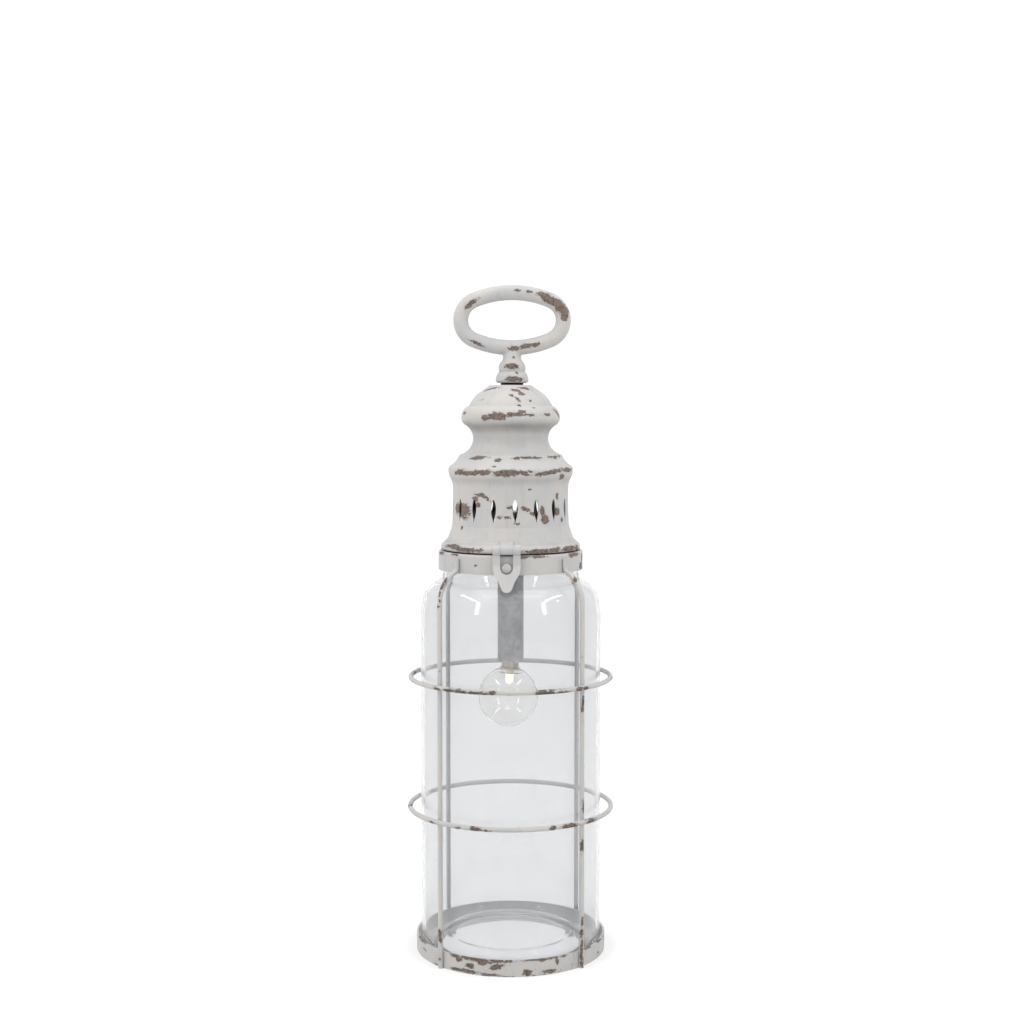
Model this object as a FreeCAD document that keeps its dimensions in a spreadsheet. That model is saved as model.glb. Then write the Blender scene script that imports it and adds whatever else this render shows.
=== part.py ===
import FreeCAD, Part
import math
import os
import Sketcher

# Lantern with a glass jar in a wire cage, and a turned lid that carries a battery lamp.
# Frame: +Z up, origin at the centre of the base on the table, -Y is the front. Millimetres.

SIZES = {
    # base ring: a rolled band with a lip that the jar stands on
    "base_radius": 80.1,
    "base_height": 13.7,
    "band_wall": 1.6,
    "base_lip_radius": 59.0,
    # glass jar
    "jar_radius": 76.1,
    "jar_wall": 3.1,
    "jar_foot_inner": 60.0,
    "jar_foot_outer": 66.0,
    "jar_heel_height": 12.0,
    "jar_heel_curve": 10.6,
    "jar_punt_radius": 52.8,
    "jar_punt_height": 14.6,
    "jar_floor_wall": 4.6,
    "jar_straight_top": 284.0,
    "jar_bend_radius": 72.8,
    "jar_bend_height": 303.6,
    "jar_shoulder_radius": 59.0,
    "jar_shoulder_height": 316.0,
    "jar_upper_curve": 66.0,
    "jar_shoulder_curve": 30.0,
    "jar_neck_radius": 56.0,
    "jar_neck_height": 326.8,
    "jar_mouth_radius": 52.5,
    "jar_lip_radius": 58.7,
    "jar_lip_height": 332.5,
    "jar_top": 338.9,
    # cage wires
    "wire_radius": 2.0,
    "rod_ring_radius": 81.8,
    "rod_front_turn": 45.0,
    "rod_rear_left_turn": 132.8,
    "rod_rear_right_turn": 43.5,
    "rod_corner_height": 316.9,
    "rod_upper_height": 326.4,
    "rod_top_height": 336.0,
    "rod_top_radius": 62.5,
    "rod_lower_curve": 27.0,
    "rod_upper_curve": 5.0,
    "upper_hoop_radius": 84.5,
    "upper_hoop_height": 232.6,
    "lower_hoop_radius": 85.3,
    "lower_hoop_height": 122.1,
    # collar band round the jar's neck
    "collar_radius": 60.75,
    "collar_bottom": 324.2,
    "collar_top": 340.0,
    "collar_wall": 1.0,
    "collar_top_curve": 1.8,
    "collar_mouth": 54.5,
    "gasket_inner": 55.0,
    "gasket_outer": 56.9,
    # lid shell, from its rim up
    "lid_bottom": 341.3,
    "lid_wall": 1.0,
    "lid_flange_inner": 47.5,
    "lid_rim_radius": 58.5,
    "lid_rim_height": 343.4,
    "lid_flare_radius": 57.3,
    "lid_flare_height": 346.0,
    "lid_skirt_radius": 53.0,
    "lid_skirt_height": 350.0,
    "lid_drum_foot_radius": 49.2,
    "lid_drum_foot_height": 361.5,
    "lid_drum_top_radius": 48.6,
    "lid_drum_top_height": 394.5,
    "lid_brow_radius": 51.1,
    "lid_brow_height": 401.6,
    "lid_ridge_radius": 52.3,
    "lid_ridge_height": 407.0,
    "lid_ridge_top_radius": 50.6,
    "lid_ridge_top_height": 410.9,
    "lid_step_radius": 43.9,
    "lid_step_height": 418.2,
    "lid_step_top_radius": 41.3,
    "lid_step_top_height": 420.6,
    "lid_waist_radius": 31.6,
    "lid_waist_height": 433.0,
    "lid_bead_foot_radius": 38.6,
    "lid_bead_foot_height": 445.3,
    "lid_bead_radius": 41.4,
    "lid_bead_height": 452.5,
    "lid_dome_radius": 35.0,
    "lid_dome_height": 461.2,
    "lid_crown_radius": 22.3,
    "lid_crown_height": 474.7,
    "lid_top_radius": 17.4,
    "lid_top": 478.3,
    # vents in the lid's drum
    "vent_bottom": 367.3,
    "vent_top": 384.4,
    "vent_width": 4.4,
    "vent_front_count": 7,
    "vent_front_pitch": 21.3,
    "vent_rear_count": 8,
    "vent_rear_pitch": 25.8,
    "vent_rear_turn": 184.1,
    "vent_turn": 4.1,
    "vent_tip_width": 1.7,
    "vent_tip_drop": 0.7,
    "vent_nib_width": 0.8,
    "vent_nib_length": 1.8,
    # handle
    "handle_shift": 1.2,
    "handle_reach": 42.9,
    "handle_rise": 22.9,
    "handle_height": 532.6,
    "handle_bar_radius": 6.3,
    "handle_end_curve": 18.0,
    "stem_bottom": 480.3,
    "stem_crown_radius": 9.6,
    "stem_crown_height": 497.2,
    "stem_neck_radius": 7.6,
    "stem_neck_height": 500.9,
    "stem_bead_radius": 11.2,
    "stem_bead_height": 492.6,
    "stem_groove_radius": 10.7,
    "stem_groove_height": 489.7,
    "stem_foot_radius": 13.6,
    "stem_foot_height": 483.6,
    "stem_base_radius": 12.2,
    "stem_top_height": 509.0,
    "stem_top_radius": 5.0,
    "handle_blend": 2.0,
    "handle_screw_radius": 3.0,
    "handle_screw_depth": 11.0,
    "handle_screw_head": 6.2,
    "handle_screw_head_height": 4.2,
    "lid_screw_hole": 4.4,
    "washer_radius": 9.4,
    # latches
    "latch_shift": -3.6,
    "pivot_height": 345.0,
    "pivot_reach": 63.6,
    "barrel_radius": 3.9,
    "barrel_width": 10.2,
    "leaf_top_height": 351.2,
    "leaf_root": 51.3,
    "pin_radius": 1.5,
    "pin_length": 23.1,
    "pin_clearance": 0.06,
    "hasp_width": 22.5,
    "hasp_gap": 10.9,
    "hasp_sheet": 1.6,
    "hasp_eye_radius": 4.2,
    "hasp_slot_bottom": 19.6,
    "hasp_slot_curve": 5.1,
    "hasp_shoulder_drop": 15.0,
    "hasp_neck_drop": 24.0,
    "hasp_neck_width": 14.2,
    "hasp_tail_drop": 30.5,
    "hasp_tail_width": 8.9,
    "hasp_length": 33.8,
    "hasp_bend_drop": 12.5,
    "hasp_knee_drop": 19.2,
    "hasp_standoff": 0.6,
    "hasp_knee_reach": 2.9,
    "hasp_tail_reach": 6.8,
    "stud_radius": 3.9,
    "stud_height": 330.1,
    "stud_cap_reach": 64.4,
    "stud_reach": 65.3,
    "stud_root": 60.1,
    "stud_cap_curve": 8.9,
    # lamp carrier inside the lid
    "plate_radius": 55.4,
    "plate_thickness": 1.2,
    "plate_screw_ring": 50.5,
    "plate_screw_count": 3,
    "plate_screw_radius": 1.5,
    "plate_screw_head": 2.75,
    "plate_screw_head_height": 1.8,
    "plate_screw_length": 6.0,
    "tube_radius": 11.0,
    "tube_wall": 0.8,
    "tube_bottom": 246.3,
    "tube_top": 368.0,
    "tube_flange_radius": 14.5,
    "tube_flange_thickness": 1.5,
    "lock_ring_radius": 15.5,
    "lock_ring_height": 4.0,
    "cap_radius": 12.0,
    "cap_skirt": 4.0,
    "cap_top": 372.4,
    "cap_groove_depth": 0.6,
    # two cells in line
    "sleeve_radius": 10.1,
    "cell_radius": 7.25,
    "cell_can_length": 49.3,
    "cell_length": 50.5,
    "cell_nub_radius": 2.75,
    "cell_play": 0.3,
    "cell_stack_bottom": 258.0,
    "spring_radius": 4.5,
    "spring_wire": 0.5,
    "spring_pitch": 2.4,
    # bulb and its holder, the bulb's own heights counted down from its pivot
    "holder_bottom": 247.4,
    "holder_bore": 8.1,
    "holder_roof": 1.5,
    "bulb_pivot_height": 248.0,
    "bulb_lean": 3.5,
    "bulb_cap_radius": 7.15,
    "bulb_cap_wall": 0.5,
    "bulb_cap_rise": 7.6,
    "bulb_ring_drop": 8.0,
    "bulb_ring_bottom": 9.3,
    "bulb_ring_radius": 8.8,
    "globe_radius": 25.4,
    "globe_drop": 33.1,
    "globe_wall": 0.9,
    "globe_neck_radius": 6.4,
    "globe_neck_top": 4.0,
    "globe_neck_bottom": 9.0,
    "globe_neck_curve": 5.0,
    "globe_joint_radius": 12.5,
    "led_radius": 3.0,
    "led_flange_radius": 3.5,
    "led_flange_height": 1.0,
    "led_top_drop": 13.6,
    "led_length": 9.0,
    "led_post_radius": 3.9,
    "led_board_drop": 3.6,
    "led_board_thickness": 1.2,
    # lamp switch on the back of the tube
    "switch_width": 9.0,
    "switch_height": 14.0,
    "switch_bottom": 317.0,
    "switch_reach": 15.4,
    "switch_slot_width": 4.8,
    "switch_slot_height": 9.6,
    "switch_slot_depth": 2.2,
    "slider_width": 4.2,
    "slider_height": 4.8,
    "slider_reach": 17.4,
    "slider_gap": 0.3,
}

FRONT_FACING = FreeCAD.Rotation(FreeCAD.Vector(1, 0, 0), 90)
HALF_TURN = FreeCAD.Rotation(FreeCAD.Vector(0, 0, 1), 180)
HUMP = 1
HOLLOW = -1

doc = FreeCAD.newDocument("candle_lantern")
sheet = doc.addObject("Spreadsheet::Sheet", "Dims")
nodes = []


class Size:
    """A size worked out from the sheet: its value, and the expression that ties it to the cells."""

    def __init__(self, value, expression):
        self.value = value
        self.expression = expression

    def __add__(self, other):
        other = as_size(other)
        return Size(self.value + other.value, f"({self.expression} + {other.expression})")

    def __sub__(self, other):
        other = as_size(other)
        return Size(self.value - other.value, f"({self.expression} - {other.expression})")

    def __mul__(self, factor):
        return Size(self.value * factor, f"({self.expression} * {factor:.9f})")

    def __truediv__(self, divisor):
        return Size(self.value / divisor, f"({self.expression} / {divisor:.9f})")

    def __neg__(self):
        return self * -1


def as_size(number):
    return number if isinstance(number, Size) else Size(float(number), f"{float(number):.9f}")


def fill_sheet():
    """One row for each driving dimension: its name, and its value with the name as alias."""
    for row, (name, value) in enumerate(SIZES.items(), start=1):
        sheet.set(f"A{row}", name)
        sheet.set(f"B{row}", str(value))
        sheet.setAlias(f"B{row}", name)
    doc.recompute()


def dim(name):
    return Size(float(sheet.get(name)), f"Dims.{name}")


def bind(thing, **sizes):
    """Tie properties to sizes from the sheet."""
    for prop, size in sizes.items():
        thing.setExpression(prop, as_size(size).expression)


def place(thing, across=None, back=None, up=None, rotation=None):
    """Put an object somewhere, with each coordinate tied to the sheet."""
    thing.Placement = FreeCAD.Placement(FreeCAD.Vector(), rotation or FreeCAD.Rotation())
    for letter, size in (("x", across), ("y", back), ("z", up)):
        if size is not None:
            thing.setExpression(f"Placement.Base.{letter}", as_size(size).expression)


def keep(thing, name):
    """Mark an object as a sub-part, with its own file."""
    thing.Label = name
    nodes.append(thing)
    return thing


def origin_plane(body, role):
    return next(feature for feature in body.Origin.OriginFeatures if feature.Role == role)


def new_sketch(body, name, role, offset=None):
    sketch = body.newObject("Sketcher::SketchObject", name)
    sketch.AttachmentSupport = [(origin_plane(body, role), "")]
    sketch.MapMode = "FlatFace"
    if offset is not None:
        sketch.setExpression("AttachmentOffset.Base.z", as_size(offset).expression)
    return sketch


def pin_point(sketch, geometry, end, across, up):
    """Hold one end of a sketch edge at its distances from the sketch's origin."""
    for kind, axis, size in (("DistanceX", -2, as_size(across)), ("DistanceY", -1, as_size(up))):
        if size.value == 0:
            sketch.addConstraint(Sketcher.Constraint("PointOnObject", geometry, end, axis))
            continue
        index = sketch.addConstraint(Sketcher.Constraint(kind, -1, 1, geometry, end, size.value))
        sketch.setExpression(f"Constraints[{index}]", size.expression)


def arc_edge(start, finish, radius, side):
    """Short arc from start to finish, which bulges to the right of its way for a HUMP."""
    chord = finish - start
    across = FreeCAD.Vector(-chord.y, chord.x, 0).normalize() * side
    centre = (start + finish) / 2 + across * math.sqrt(radius ** 2 - (chord.Length / 2) ** 2)
    first, last = (start, finish) if side == HUMP else (finish, start)
    angles = [math.atan2(point.y - centre.y, point.x - centre.x) for point in (first, last)]
    if angles[1] < angles[0]:
        angles[1] += 2 * math.pi
    return Part.ArcOfCircle(Part.Circle(centre, FreeCAD.Vector(0, 0, 1), radius), *angles)


def draw_path(sketch, corners, closed=True):
    """Edges through corners (across, up). A corner (across, up, radius, side) is reached by an arc.

    A closed outline runs anticlockwise, so a HUMP bulges out of the shape and a HOLLOW into it.
    """
    points = [FreeCAD.Vector(as_size(c[0]).value, as_size(c[1]).value, 0) for c in corners]
    count = len(corners)
    ends = []
    for index in range(count if closed else count - 1):
        following = (index + 1) % count
        start, finish = points[index], points[following]
        if len(corners[following]) == 2:
            edge = sketch.addGeometry(Part.LineSegment(start, finish), False)
            ends.append((edge, 1, 2))
            continue
        radius, side = corners[following][2:]
        edge = sketch.addGeometry(arc_edge(start, finish, as_size(radius).value, side), False)
        ends.append((edge, 1, 2) if side == HUMP else (edge, 2, 1))
    for (edge, _, last), (other, first, _) in zip(ends, ends[1:] + ends[:1] if closed else ends[1:]):
        sketch.addConstraint(Sketcher.Constraint("Coincident", edge, last, other, first))
    for index, (edge, first, last) in enumerate(ends):
        pin_point(sketch, edge, first, corners[index][0], corners[index][1])
        if not closed and index == len(ends) - 1:
            pin_point(sketch, edge, last, corners[-1][0], corners[-1][1])
    for index, (edge, _, _) in enumerate(ends):
        following = corners[(index + 1) % count]
        if len(following) == 4:
            radius = as_size(following[2])
            bound = sketch.addConstraint(Sketcher.Constraint("Radius", edge, radius.value))
            sketch.setExpression(f"Constraints[{bound}]", radius.expression)


def draw_circle(sketch, across, up, radius):
    centre = FreeCAD.Vector(as_size(across).value, as_size(up).value, 0)
    size = as_size(radius)
    circle = Part.Circle(centre, FreeCAD.Vector(0, 0, 1), size.value)
    edge = sketch.addGeometry(circle, False)
    pin_point(sketch, edge, 3, across, up)
    bound = sketch.addConstraint(Sketcher.Constraint("Radius", edge, size.value))
    sketch.setExpression(f"Constraints[{bound}]", size.expression)


def new_body(name):
    return keep(doc.addObject("PartDesign::Body", name + "_body"), name)


def turn_outline(body, name, corners):
    """Revolve a closed outline (radius, height) about the body's own Z axis."""
    sketch = new_sketch(body, name + "_outline", "XZ_Plane")
    draw_path(sketch, corners)
    turned = body.newObject("PartDesign::Revolution", name + "_turned")
    turned.Profile = sketch
    turned.ReferenceAxis = (sketch, ["V_Axis"])
    turned.Angle = 360
    return turned


def turned_body(name, corners):
    body = new_body(name)
    turn_outline(body, name, corners)
    return body


def ring_body(name, inner, outer, bottom, top):
    """A plain ring or disc of rectangular section."""
    return turned_body(name, [(inner, bottom), (outer, bottom), (outer, top), (inner, top)])


def pad(body, name, sketch, length, both_ways=False):
    solid = body.newObject("PartDesign::Pad", name)
    solid.Profile = sketch
    solid.SideType = "Symmetric" if both_ways else "One side"
    bind(solid, Length=length)
    return solid


def pocket(body, name, sketch, length, reverse=False, both_ways=False):
    cut = body.newObject("PartDesign::Pocket", name)
    cut.Profile = sketch
    cut.Reversed = reverse
    cut.SideType = "Symmetric" if both_ways else "One side"
    bind(cut, Length=length)
    return cut


def repeat_round(body, name, feature, count, sweep=360):
    """Repeat a feature evenly round the body's Z axis, over a whole turn or part of one."""
    pattern = body.newObject("PartDesign::PolarPattern", name)
    pattern.Originals = [feature]
    pattern.Axis = (origin_plane(body, "Z_Axis"), [""])
    bind(pattern, Occurrences=count, Angle=sweep)
    body.Tip = pattern
    return pattern


# ---------------------------------------------------------------- cage and jar

def base_ring():
    outer, lip, wall = dim("base_radius"), dim("base_lip_radius"), dim("band_wall")
    turned_body("base_ring", [
        (lip, 0), (outer, 0), (outer, dim("base_height")), (outer - wall, dim("base_height")),
        (outer - wall, wall), (lip, wall),
    ])


def glass_jar():
    wall, floor = dim("jar_wall"), dim("jar_floor_wall")
    foot, radius = dim("band_wall"), dim("jar_radius")
    punt_radius, punt_top = dim("jar_punt_radius"), dim("jar_punt_height")
    inner, mouth = radius - wall, dim("jar_mouth_radius")
    heel, curve = dim("jar_heel_height"), dim("jar_heel_curve")
    bend_radius, bend = dim("jar_bend_radius"), dim("jar_bend_height")
    shoulder_radius, shoulder = dim("jar_shoulder_radius"), dim("jar_shoulder_height")
    upper_curve, shoulder_curve = dim("jar_upper_curve"), dim("jar_shoulder_curve")
    neck_curve = wall * 2
    turned_body("glass_jar", [
        (0, punt_top - floor),
        (punt_radius - 6, punt_top - floor),
        (punt_radius + 2, foot + 3, neck_curve * 2, HUMP),
        (dim("jar_foot_inner"), foot),
        (dim("jar_foot_outer"), foot),
        (radius, heel, curve, HUMP),
        (radius, dim("jar_straight_top")),
        (bend_radius, bend, upper_curve, HUMP),
        (shoulder_radius, shoulder, shoulder_curve, HUMP),
        (dim("jar_neck_radius"), dim("jar_neck_height"), neck_curve * 4, HOLLOW),
        (dim("jar_neck_radius"), dim("jar_lip_height") - 2),
        (dim("jar_lip_radius"), dim("jar_lip_height")),
        (dim("jar_lip_radius"), dim("jar_top") - 1),
        (dim("jar_lip_radius") - 1, dim("jar_top"), 1.2, HUMP),
        (mouth + 1.5, dim("jar_top")),
        (mouth, dim("jar_top") - 1.5, 1.8, HUMP),
        (mouth, dim("jar_neck_height") - 1),
        (shoulder_radius - 3, shoulder - 3.4, neck_curve * 5, HUMP),
        (bend_radius - wall, bend - 0.9, shoulder_curve - wall, HOLLOW),
        (inner, dim("jar_straight_top"), upper_curve - wall, HOLLOW),
        (inner, heel + 2),
        (dim("jar_foot_outer") - 1.4, foot + floor, curve - 0.8, HOLLOW),
        (dim("jar_foot_inner") - 0.6, foot + floor + 0.4, 20, HOLLOW),
        (punt_radius, punt_top, neck_curve * 2, HOLLOW),
        (0, punt_top + 0.8),
    ])


def cage_rod(name, azimuth):
    """A rod up the outside of the jar, bent in over the shoulder and up against the collar."""
    body = new_body(name)
    path = new_sketch(body, name + "_path", "XZ_Plane")
    low, high = dim("rod_corner_height"), dim("rod_upper_height")
    outside, inside = dim("rod_ring_radius"), dim("rod_top_radius")
    slope = math.atan2((high - low).value, (outside - inside).value)
    reach = math.tan((math.pi / 2 - slope) / 2)
    lower, upper = dim("rod_lower_curve") * reach, dim("rod_upper_curve") * reach
    draw_path(path, [
        (outside, 0),
        (outside, low - lower),
        (outside - lower * math.cos(slope), low + lower * math.sin(slope),
         dim("rod_lower_curve"), HUMP),
        (inside + upper * math.cos(slope), high - upper * math.sin(slope)),
        (inside, high + upper, dim("rod_upper_curve"), HOLLOW),
        (inside, dim("rod_top_height")),
    ], closed=False)
    section = new_sketch(body, name + "_section", "XY_Plane")
    draw_circle(section, outside, 0, dim("wire_radius"))
    pipe = body.newObject("PartDesign::AdditivePipe", name + "_pipe")
    pipe.Profile = section
    pipe.Spine = (path, [f"Edge{number}" for number in range(1, 6)])
    body.Placement = FreeCAD.Placement(
        FreeCAD.Vector(), FreeCAD.Rotation(FreeCAD.Vector(0, 0, 1), azimuth))


def cage_rods():
    spread = dim("rod_front_turn").value
    cage_rod("rod_front_right", spread - 90)
    cage_rod("rod_front_left", -90 - spread)
    cage_rod("rod_rear_right", dim("rod_rear_right_turn").value)
    cage_rod("rod_rear_left", dim("rod_rear_left_turn").value)


def hoop(name, radius, height):
    ring = keep(doc.addObject("Part::Torus", name + "_ring"), name)
    bind(ring, Radius1=radius, Radius2=dim("wire_radius"))
    place(ring, up=height)


def collar_band():
    outer, wall = dim("collar_radius"), dim("collar_wall")
    bottom, top = dim("collar_bottom"), dim("collar_top")
    curve = dim("collar_top_curve")
    turned_body("collar_band", [
        (outer - wall, bottom), (outer, bottom), (outer, top - curve),
        (outer - curve, top, curve, HUMP),
        (dim("collar_mouth"), top), (dim("collar_mouth"), top - wall), (outer - wall, top - wall),
    ])


def collar_gasket():
    ring_body("collar_gasket", dim("gasket_inner"), dim("gasket_outer"),
              dim("collar_top"), dim("lid_bottom"))


def latch_stud(name, facing):
    """Domed peg on the collar, turned about its own axis and laid to point outwards."""
    root, shoulder, tip = dim("stud_root"), dim("stud_cap_reach"), dim("stud_reach")
    body = turned_body(name, [
        (0, root), (dim("stud_radius"), root), (dim("stud_radius"), shoulder),
        (0, tip, dim("stud_cap_curve"), HUMP),
    ])
    outward = FRONT_FACING if facing < 0 else HALF_TURN * FRONT_FACING
    place(body, across=dim("latch_shift") * -facing, up=dim("stud_height"), rotation=outward)


# ---------------------------------------------------------------- lid

def lid_corners():
    """The lid's section: up the outside from the rim, and back down the inside."""
    wall = dim("lid_wall")
    rim = dim("lid_rim_radius")
    bottom = dim("lid_bottom")
    inner_drum = dim("lid_drum_foot_radius") - wall
    outside = [
        (dim("lid_flange_inner"), bottom),
        (rim, bottom),
        (rim, dim("lid_rim_height")),
        (dim("lid_flare_radius"), dim("lid_flare_height"), 2.6, HUMP),
        (dim("lid_skirt_radius"), dim("lid_skirt_height")),
        (dim("lid_drum_foot_radius"), dim("lid_drum_foot_height"), 90, HOLLOW),
        (dim("lid_drum_top_radius"), dim("lid_drum_top_height"), 270, HOLLOW),
        (dim("lid_brow_radius"), dim("lid_brow_height"), 18, HOLLOW),
        (dim("lid_ridge_radius"), dim("lid_ridge_height"), 15, HUMP),
        (dim("lid_ridge_top_radius"), dim("lid_ridge_top_height"), 3.6, HUMP),
        (dim("lid_step_radius"), dim("lid_step_height"), 20, HOLLOW),
        (dim("lid_step_top_radius"), dim("lid_step_top_height"), 3, HUMP),
        (dim("lid_waist_radius"), dim("lid_waist_height"), 14.5, HOLLOW),
        (dim("lid_bead_foot_radius"), dim("lid_bead_foot_height"), 13, HOLLOW),
        (dim("lid_bead_radius"), dim("lid_bead_height"), 8, HUMP),
        (dim("lid_dome_radius"), dim("lid_dome_height"), 10, HUMP),
        (dim("lid_crown_radius"), dim("lid_crown_height"), 30, HUMP),
        (dim("lid_top_radius"), dim("lid_top")),
        (dim("lid_screw_hole"), dim("lid_top")),
    ]
    inside = [
        (dim("lid_screw_hole"), dim("lid_top") - wall),
        (dim("lid_top_radius") - wall / 2, dim("lid_top") - wall),
        (dim("lid_crown_radius") - wall * 0.8, dim("lid_crown_height") - wall),
        (dim("lid_dome_radius") - wall * 1.1, dim("lid_dome_height") - wall, 29, HOLLOW),
        (dim("lid_bead_radius") - wall, dim("lid_bead_height"), 9.6, HOLLOW),
        (dim("lid_bead_foot_radius") - wall, dim("lid_bead_foot_height") + wall / 2, 7.5, HOLLOW),
        (dim("lid_waist_radius") - wall, dim("lid_waist_height"), 14, HUMP),
        (dim("lid_step_top_radius") - wall, dim("lid_step_top_height") - wall, 15.5, HUMP),
        (dim("lid_step_radius") - wall, dim("lid_step_height") - wall, 2.5, HOLLOW),
        (dim("lid_ridge_top_radius") - wall * 1.2, dim("lid_ridge_top_height") - wall, 21, HUMP),
        (dim("lid_ridge_radius") - wall, dim("lid_ridge_height"), 3.6, HOLLOW),
        (dim("lid_brow_radius") - wall, dim("lid_brow_height") + wall / 2, 15, HOLLOW),
        (dim("lid_drum_top_radius") - wall, dim("lid_drum_top_height"), 19, HUMP),
        (inner_drum, dim("lid_drum_foot_height"), 270, HUMP),
        (dim("lid_skirt_radius") - wall, dim("lid_skirt_height"), 90, HUMP),
        (dim("lid_flare_radius") - wall, dim("lid_flare_height") - wall / 2),
        (dim("lid_flare_radius") - wall, bottom + wall),
        (dim("lid_flange_inner"), bottom + wall),
    ]
    return outside + inside


def vent_outline():
    """Leaf with a blunt upper tip and a narrow nib at its foot."""
    half, nib, tip = dim("vent_width") / 2, dim("vent_nib_width") / 2, dim("vent_tip_width") / 2
    top, foot = dim("vent_top"), dim("vent_bottom") + 0.6
    shoulder = top - dim("vent_tip_drop")
    middle = foot + (top - foot) * 0.5
    side_curve, tip_curve = 22.0, tip * 1.1
    low, high = middle - (middle - foot) * 0.5, middle + (top - middle) * 0.5
    right = [
        (nib, foot),
        (half * 0.77, low, side_curve, HUMP),
        (half, middle, side_curve, HUMP),
        (half * 0.86, high, side_curve, HUMP),
        (tip, shoulder, side_curve, HUMP),
    ]
    left = [(-tip, shoulder, tip_curve, HUMP)]
    left += [(-across, up, side_curve, HUMP) for across, up, *_ in reversed(right[:-1])]
    nib_foot = foot - dim("vent_nib_length")
    return [(-nib, nib_foot), (nib, nib_foot)] + right + left


def vent_row(body, name, start, count, sweep):
    """Vents spread evenly over part of the drum. The start angle is counted from the front."""
    outline = new_sketch(body, name + "_outline", "XZ_Plane")
    outline.AttachmentOffset = FreeCAD.Placement(
        FreeCAD.Vector(), FreeCAD.Rotation(FreeCAD.Vector(0, 1, 0), start.value))
    draw_path(outline, vent_outline())
    cut = pocket(body, name + "_cut", outline, dim("lid_rim_radius"), reverse=True)
    repeat_round(body, name, cut, count, sweep)


def lid_shell():
    """Turned shell with leaf-shaped vents, closer together at the front, and holes for screws."""
    body = turned_body("lid_shell", lid_corners())
    front_count, rear_count = dim("vent_front_count"), dim("vent_rear_count")
    front_sweep = dim("vent_front_pitch") * (front_count.value - 1)
    rear_sweep = dim("vent_rear_pitch") * (rear_count.value - 1)
    vent_row(body, "front_vents", -front_sweep / 2, front_count, front_sweep)
    vent_row(body, "rear_vents", dim("vent_rear_turn") - rear_sweep / 2, rear_count, rear_sweep)
    holes = new_sketch(body, "flange_hole_outline", "XY_Plane", dim("lid_bottom"))
    draw_circle(holes, 0, dim("plate_screw_ring"), dim("plate_screw_radius"))
    drilled = pocket(body, "flange_hole", holes, dim("lid_wall"), reverse=True)
    repeat_round(body, "flange_holes", drilled, dim("plate_screw_count"))
    place(body, rotation=FreeCAD.Rotation(FreeCAD.Vector(0, 0, 1), dim("vent_turn").value))


def handle():
    """Oval ring on a turned stem, with a blind hole for the screw that holds it."""
    body = new_body("handle")
    screw, hole_top = dim("handle_screw_radius"), dim("stem_bottom") + dim("handle_screw_depth")
    turn_outline(body, "stem", [
        (0, hole_top), (screw, hole_top), (screw, dim("stem_bottom")),
        (dim("stem_base_radius"), dim("stem_bottom")),
        (dim("stem_foot_radius"), dim("stem_foot_height"), 2.6, HUMP),
        (dim("stem_groove_radius"), dim("stem_groove_height"), 9, HUMP),
        (dim("stem_bead_radius"), dim("stem_bead_height"), 4, HUMP),
        (dim("stem_crown_radius"), dim("stem_crown_height"), 6, HUMP),
        (dim("stem_neck_radius"), dim("stem_neck_height"), 10, HOLLOW),
        (dim("stem_top_radius"), dim("stem_top_height")),
        (0, dim("stem_top_height")),
    ])
    end, reach, rise = dim("handle_end_curve"), dim("handle_reach"), dim("handle_rise")
    end_centre = (reach - end).value
    side_radius = (end_centre ** 2 + rise.value ** 2 - end.value ** 2) / (2 * (rise - end).value)
    swing = math.atan2(end_centre, side_radius - rise.value)
    joint_across = reach - end + end * math.sin(swing)
    joint_up = end * math.cos(swing)
    oval = new_sketch(body, "oval_path", "XZ_Plane")
    middle = dim("handle_height")
    draw_path(oval, [
        (joint_across, middle - joint_up, side_radius, HUMP),
        (reach, middle, end, HUMP),
        (joint_across, middle + joint_up, end, HUMP),
        (-joint_across, middle + joint_up, side_radius, HUMP),
        (-reach, middle, end, HUMP),
        (-joint_across, middle - joint_up, end, HUMP),
    ])
    section = new_sketch(body, "bar_section", "XY_Plane", middle)
    draw_circle(section, reach, 0, dim("handle_bar_radius"))
    ring = body.newObject("PartDesign::AdditivePipe", "oval_ring")
    ring.Profile = section
    ring.Spine = (oval, [f"Edge{number}" for number in range(1, 7)])
    doc.recompute()
    blend = body.newObject("PartDesign::Fillet", "stem_blend")
    blend.Base = (ring, edges_between(ring.Shape, dim("stem_neck_height"), dim("stem_top_height")))
    bind(blend, Radius=dim("handle_blend"))
    place(body, across=dim("handle_shift"))


def edges_between(shape, low, high):
    """Names of the curved seam edges near the stem that lie between two heights."""
    names = []
    for number, edge in enumerate(shape.Edges, start=1):
        box_of_edge = edge.BoundBox
        inside = low.value < box_of_edge.ZMin and box_of_edge.ZMax < high.value
        if inside and isinstance(edge.Curve, Part.BSplineCurve):
            names.append(f"Edge{number}")
    return names


def hexagon(radius):
    return [(radius * math.cos(turn * math.pi / 3), radius * math.sin(turn * math.pi / 3))
            for turn in range(6)]


def handle_screw():
    """Hexagon head under the lid's crown, with its shank up into the stem."""
    body = new_body("handle_screw")
    under_crown = dim("lid_top") - dim("lid_wall")
    head = new_sketch(body, "screw_head_outline", "XY_Plane",
                      under_crown - dim("handle_screw_head_height"))
    draw_path(head, hexagon(dim("handle_screw_head")))
    pad(body, "screw_head", head, dim("handle_screw_head_height"))
    shank = new_sketch(body, "screw_shank_outline", "XY_Plane", under_crown)
    draw_circle(shank, 0, 0, dim("handle_screw_radius"))
    pad(body, "screw_shank", shank,
        dim("stem_bottom") + dim("handle_screw_depth") - under_crown - 1)
    place(body, across=dim("handle_shift"))


def handle_washer():
    body = ring_body("handle_washer", dim("handle_screw_radius"), dim("washer_radius"),
                     dim("lid_top"), dim("stem_bottom"))
    place(body, across=dim("handle_shift"))


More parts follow.
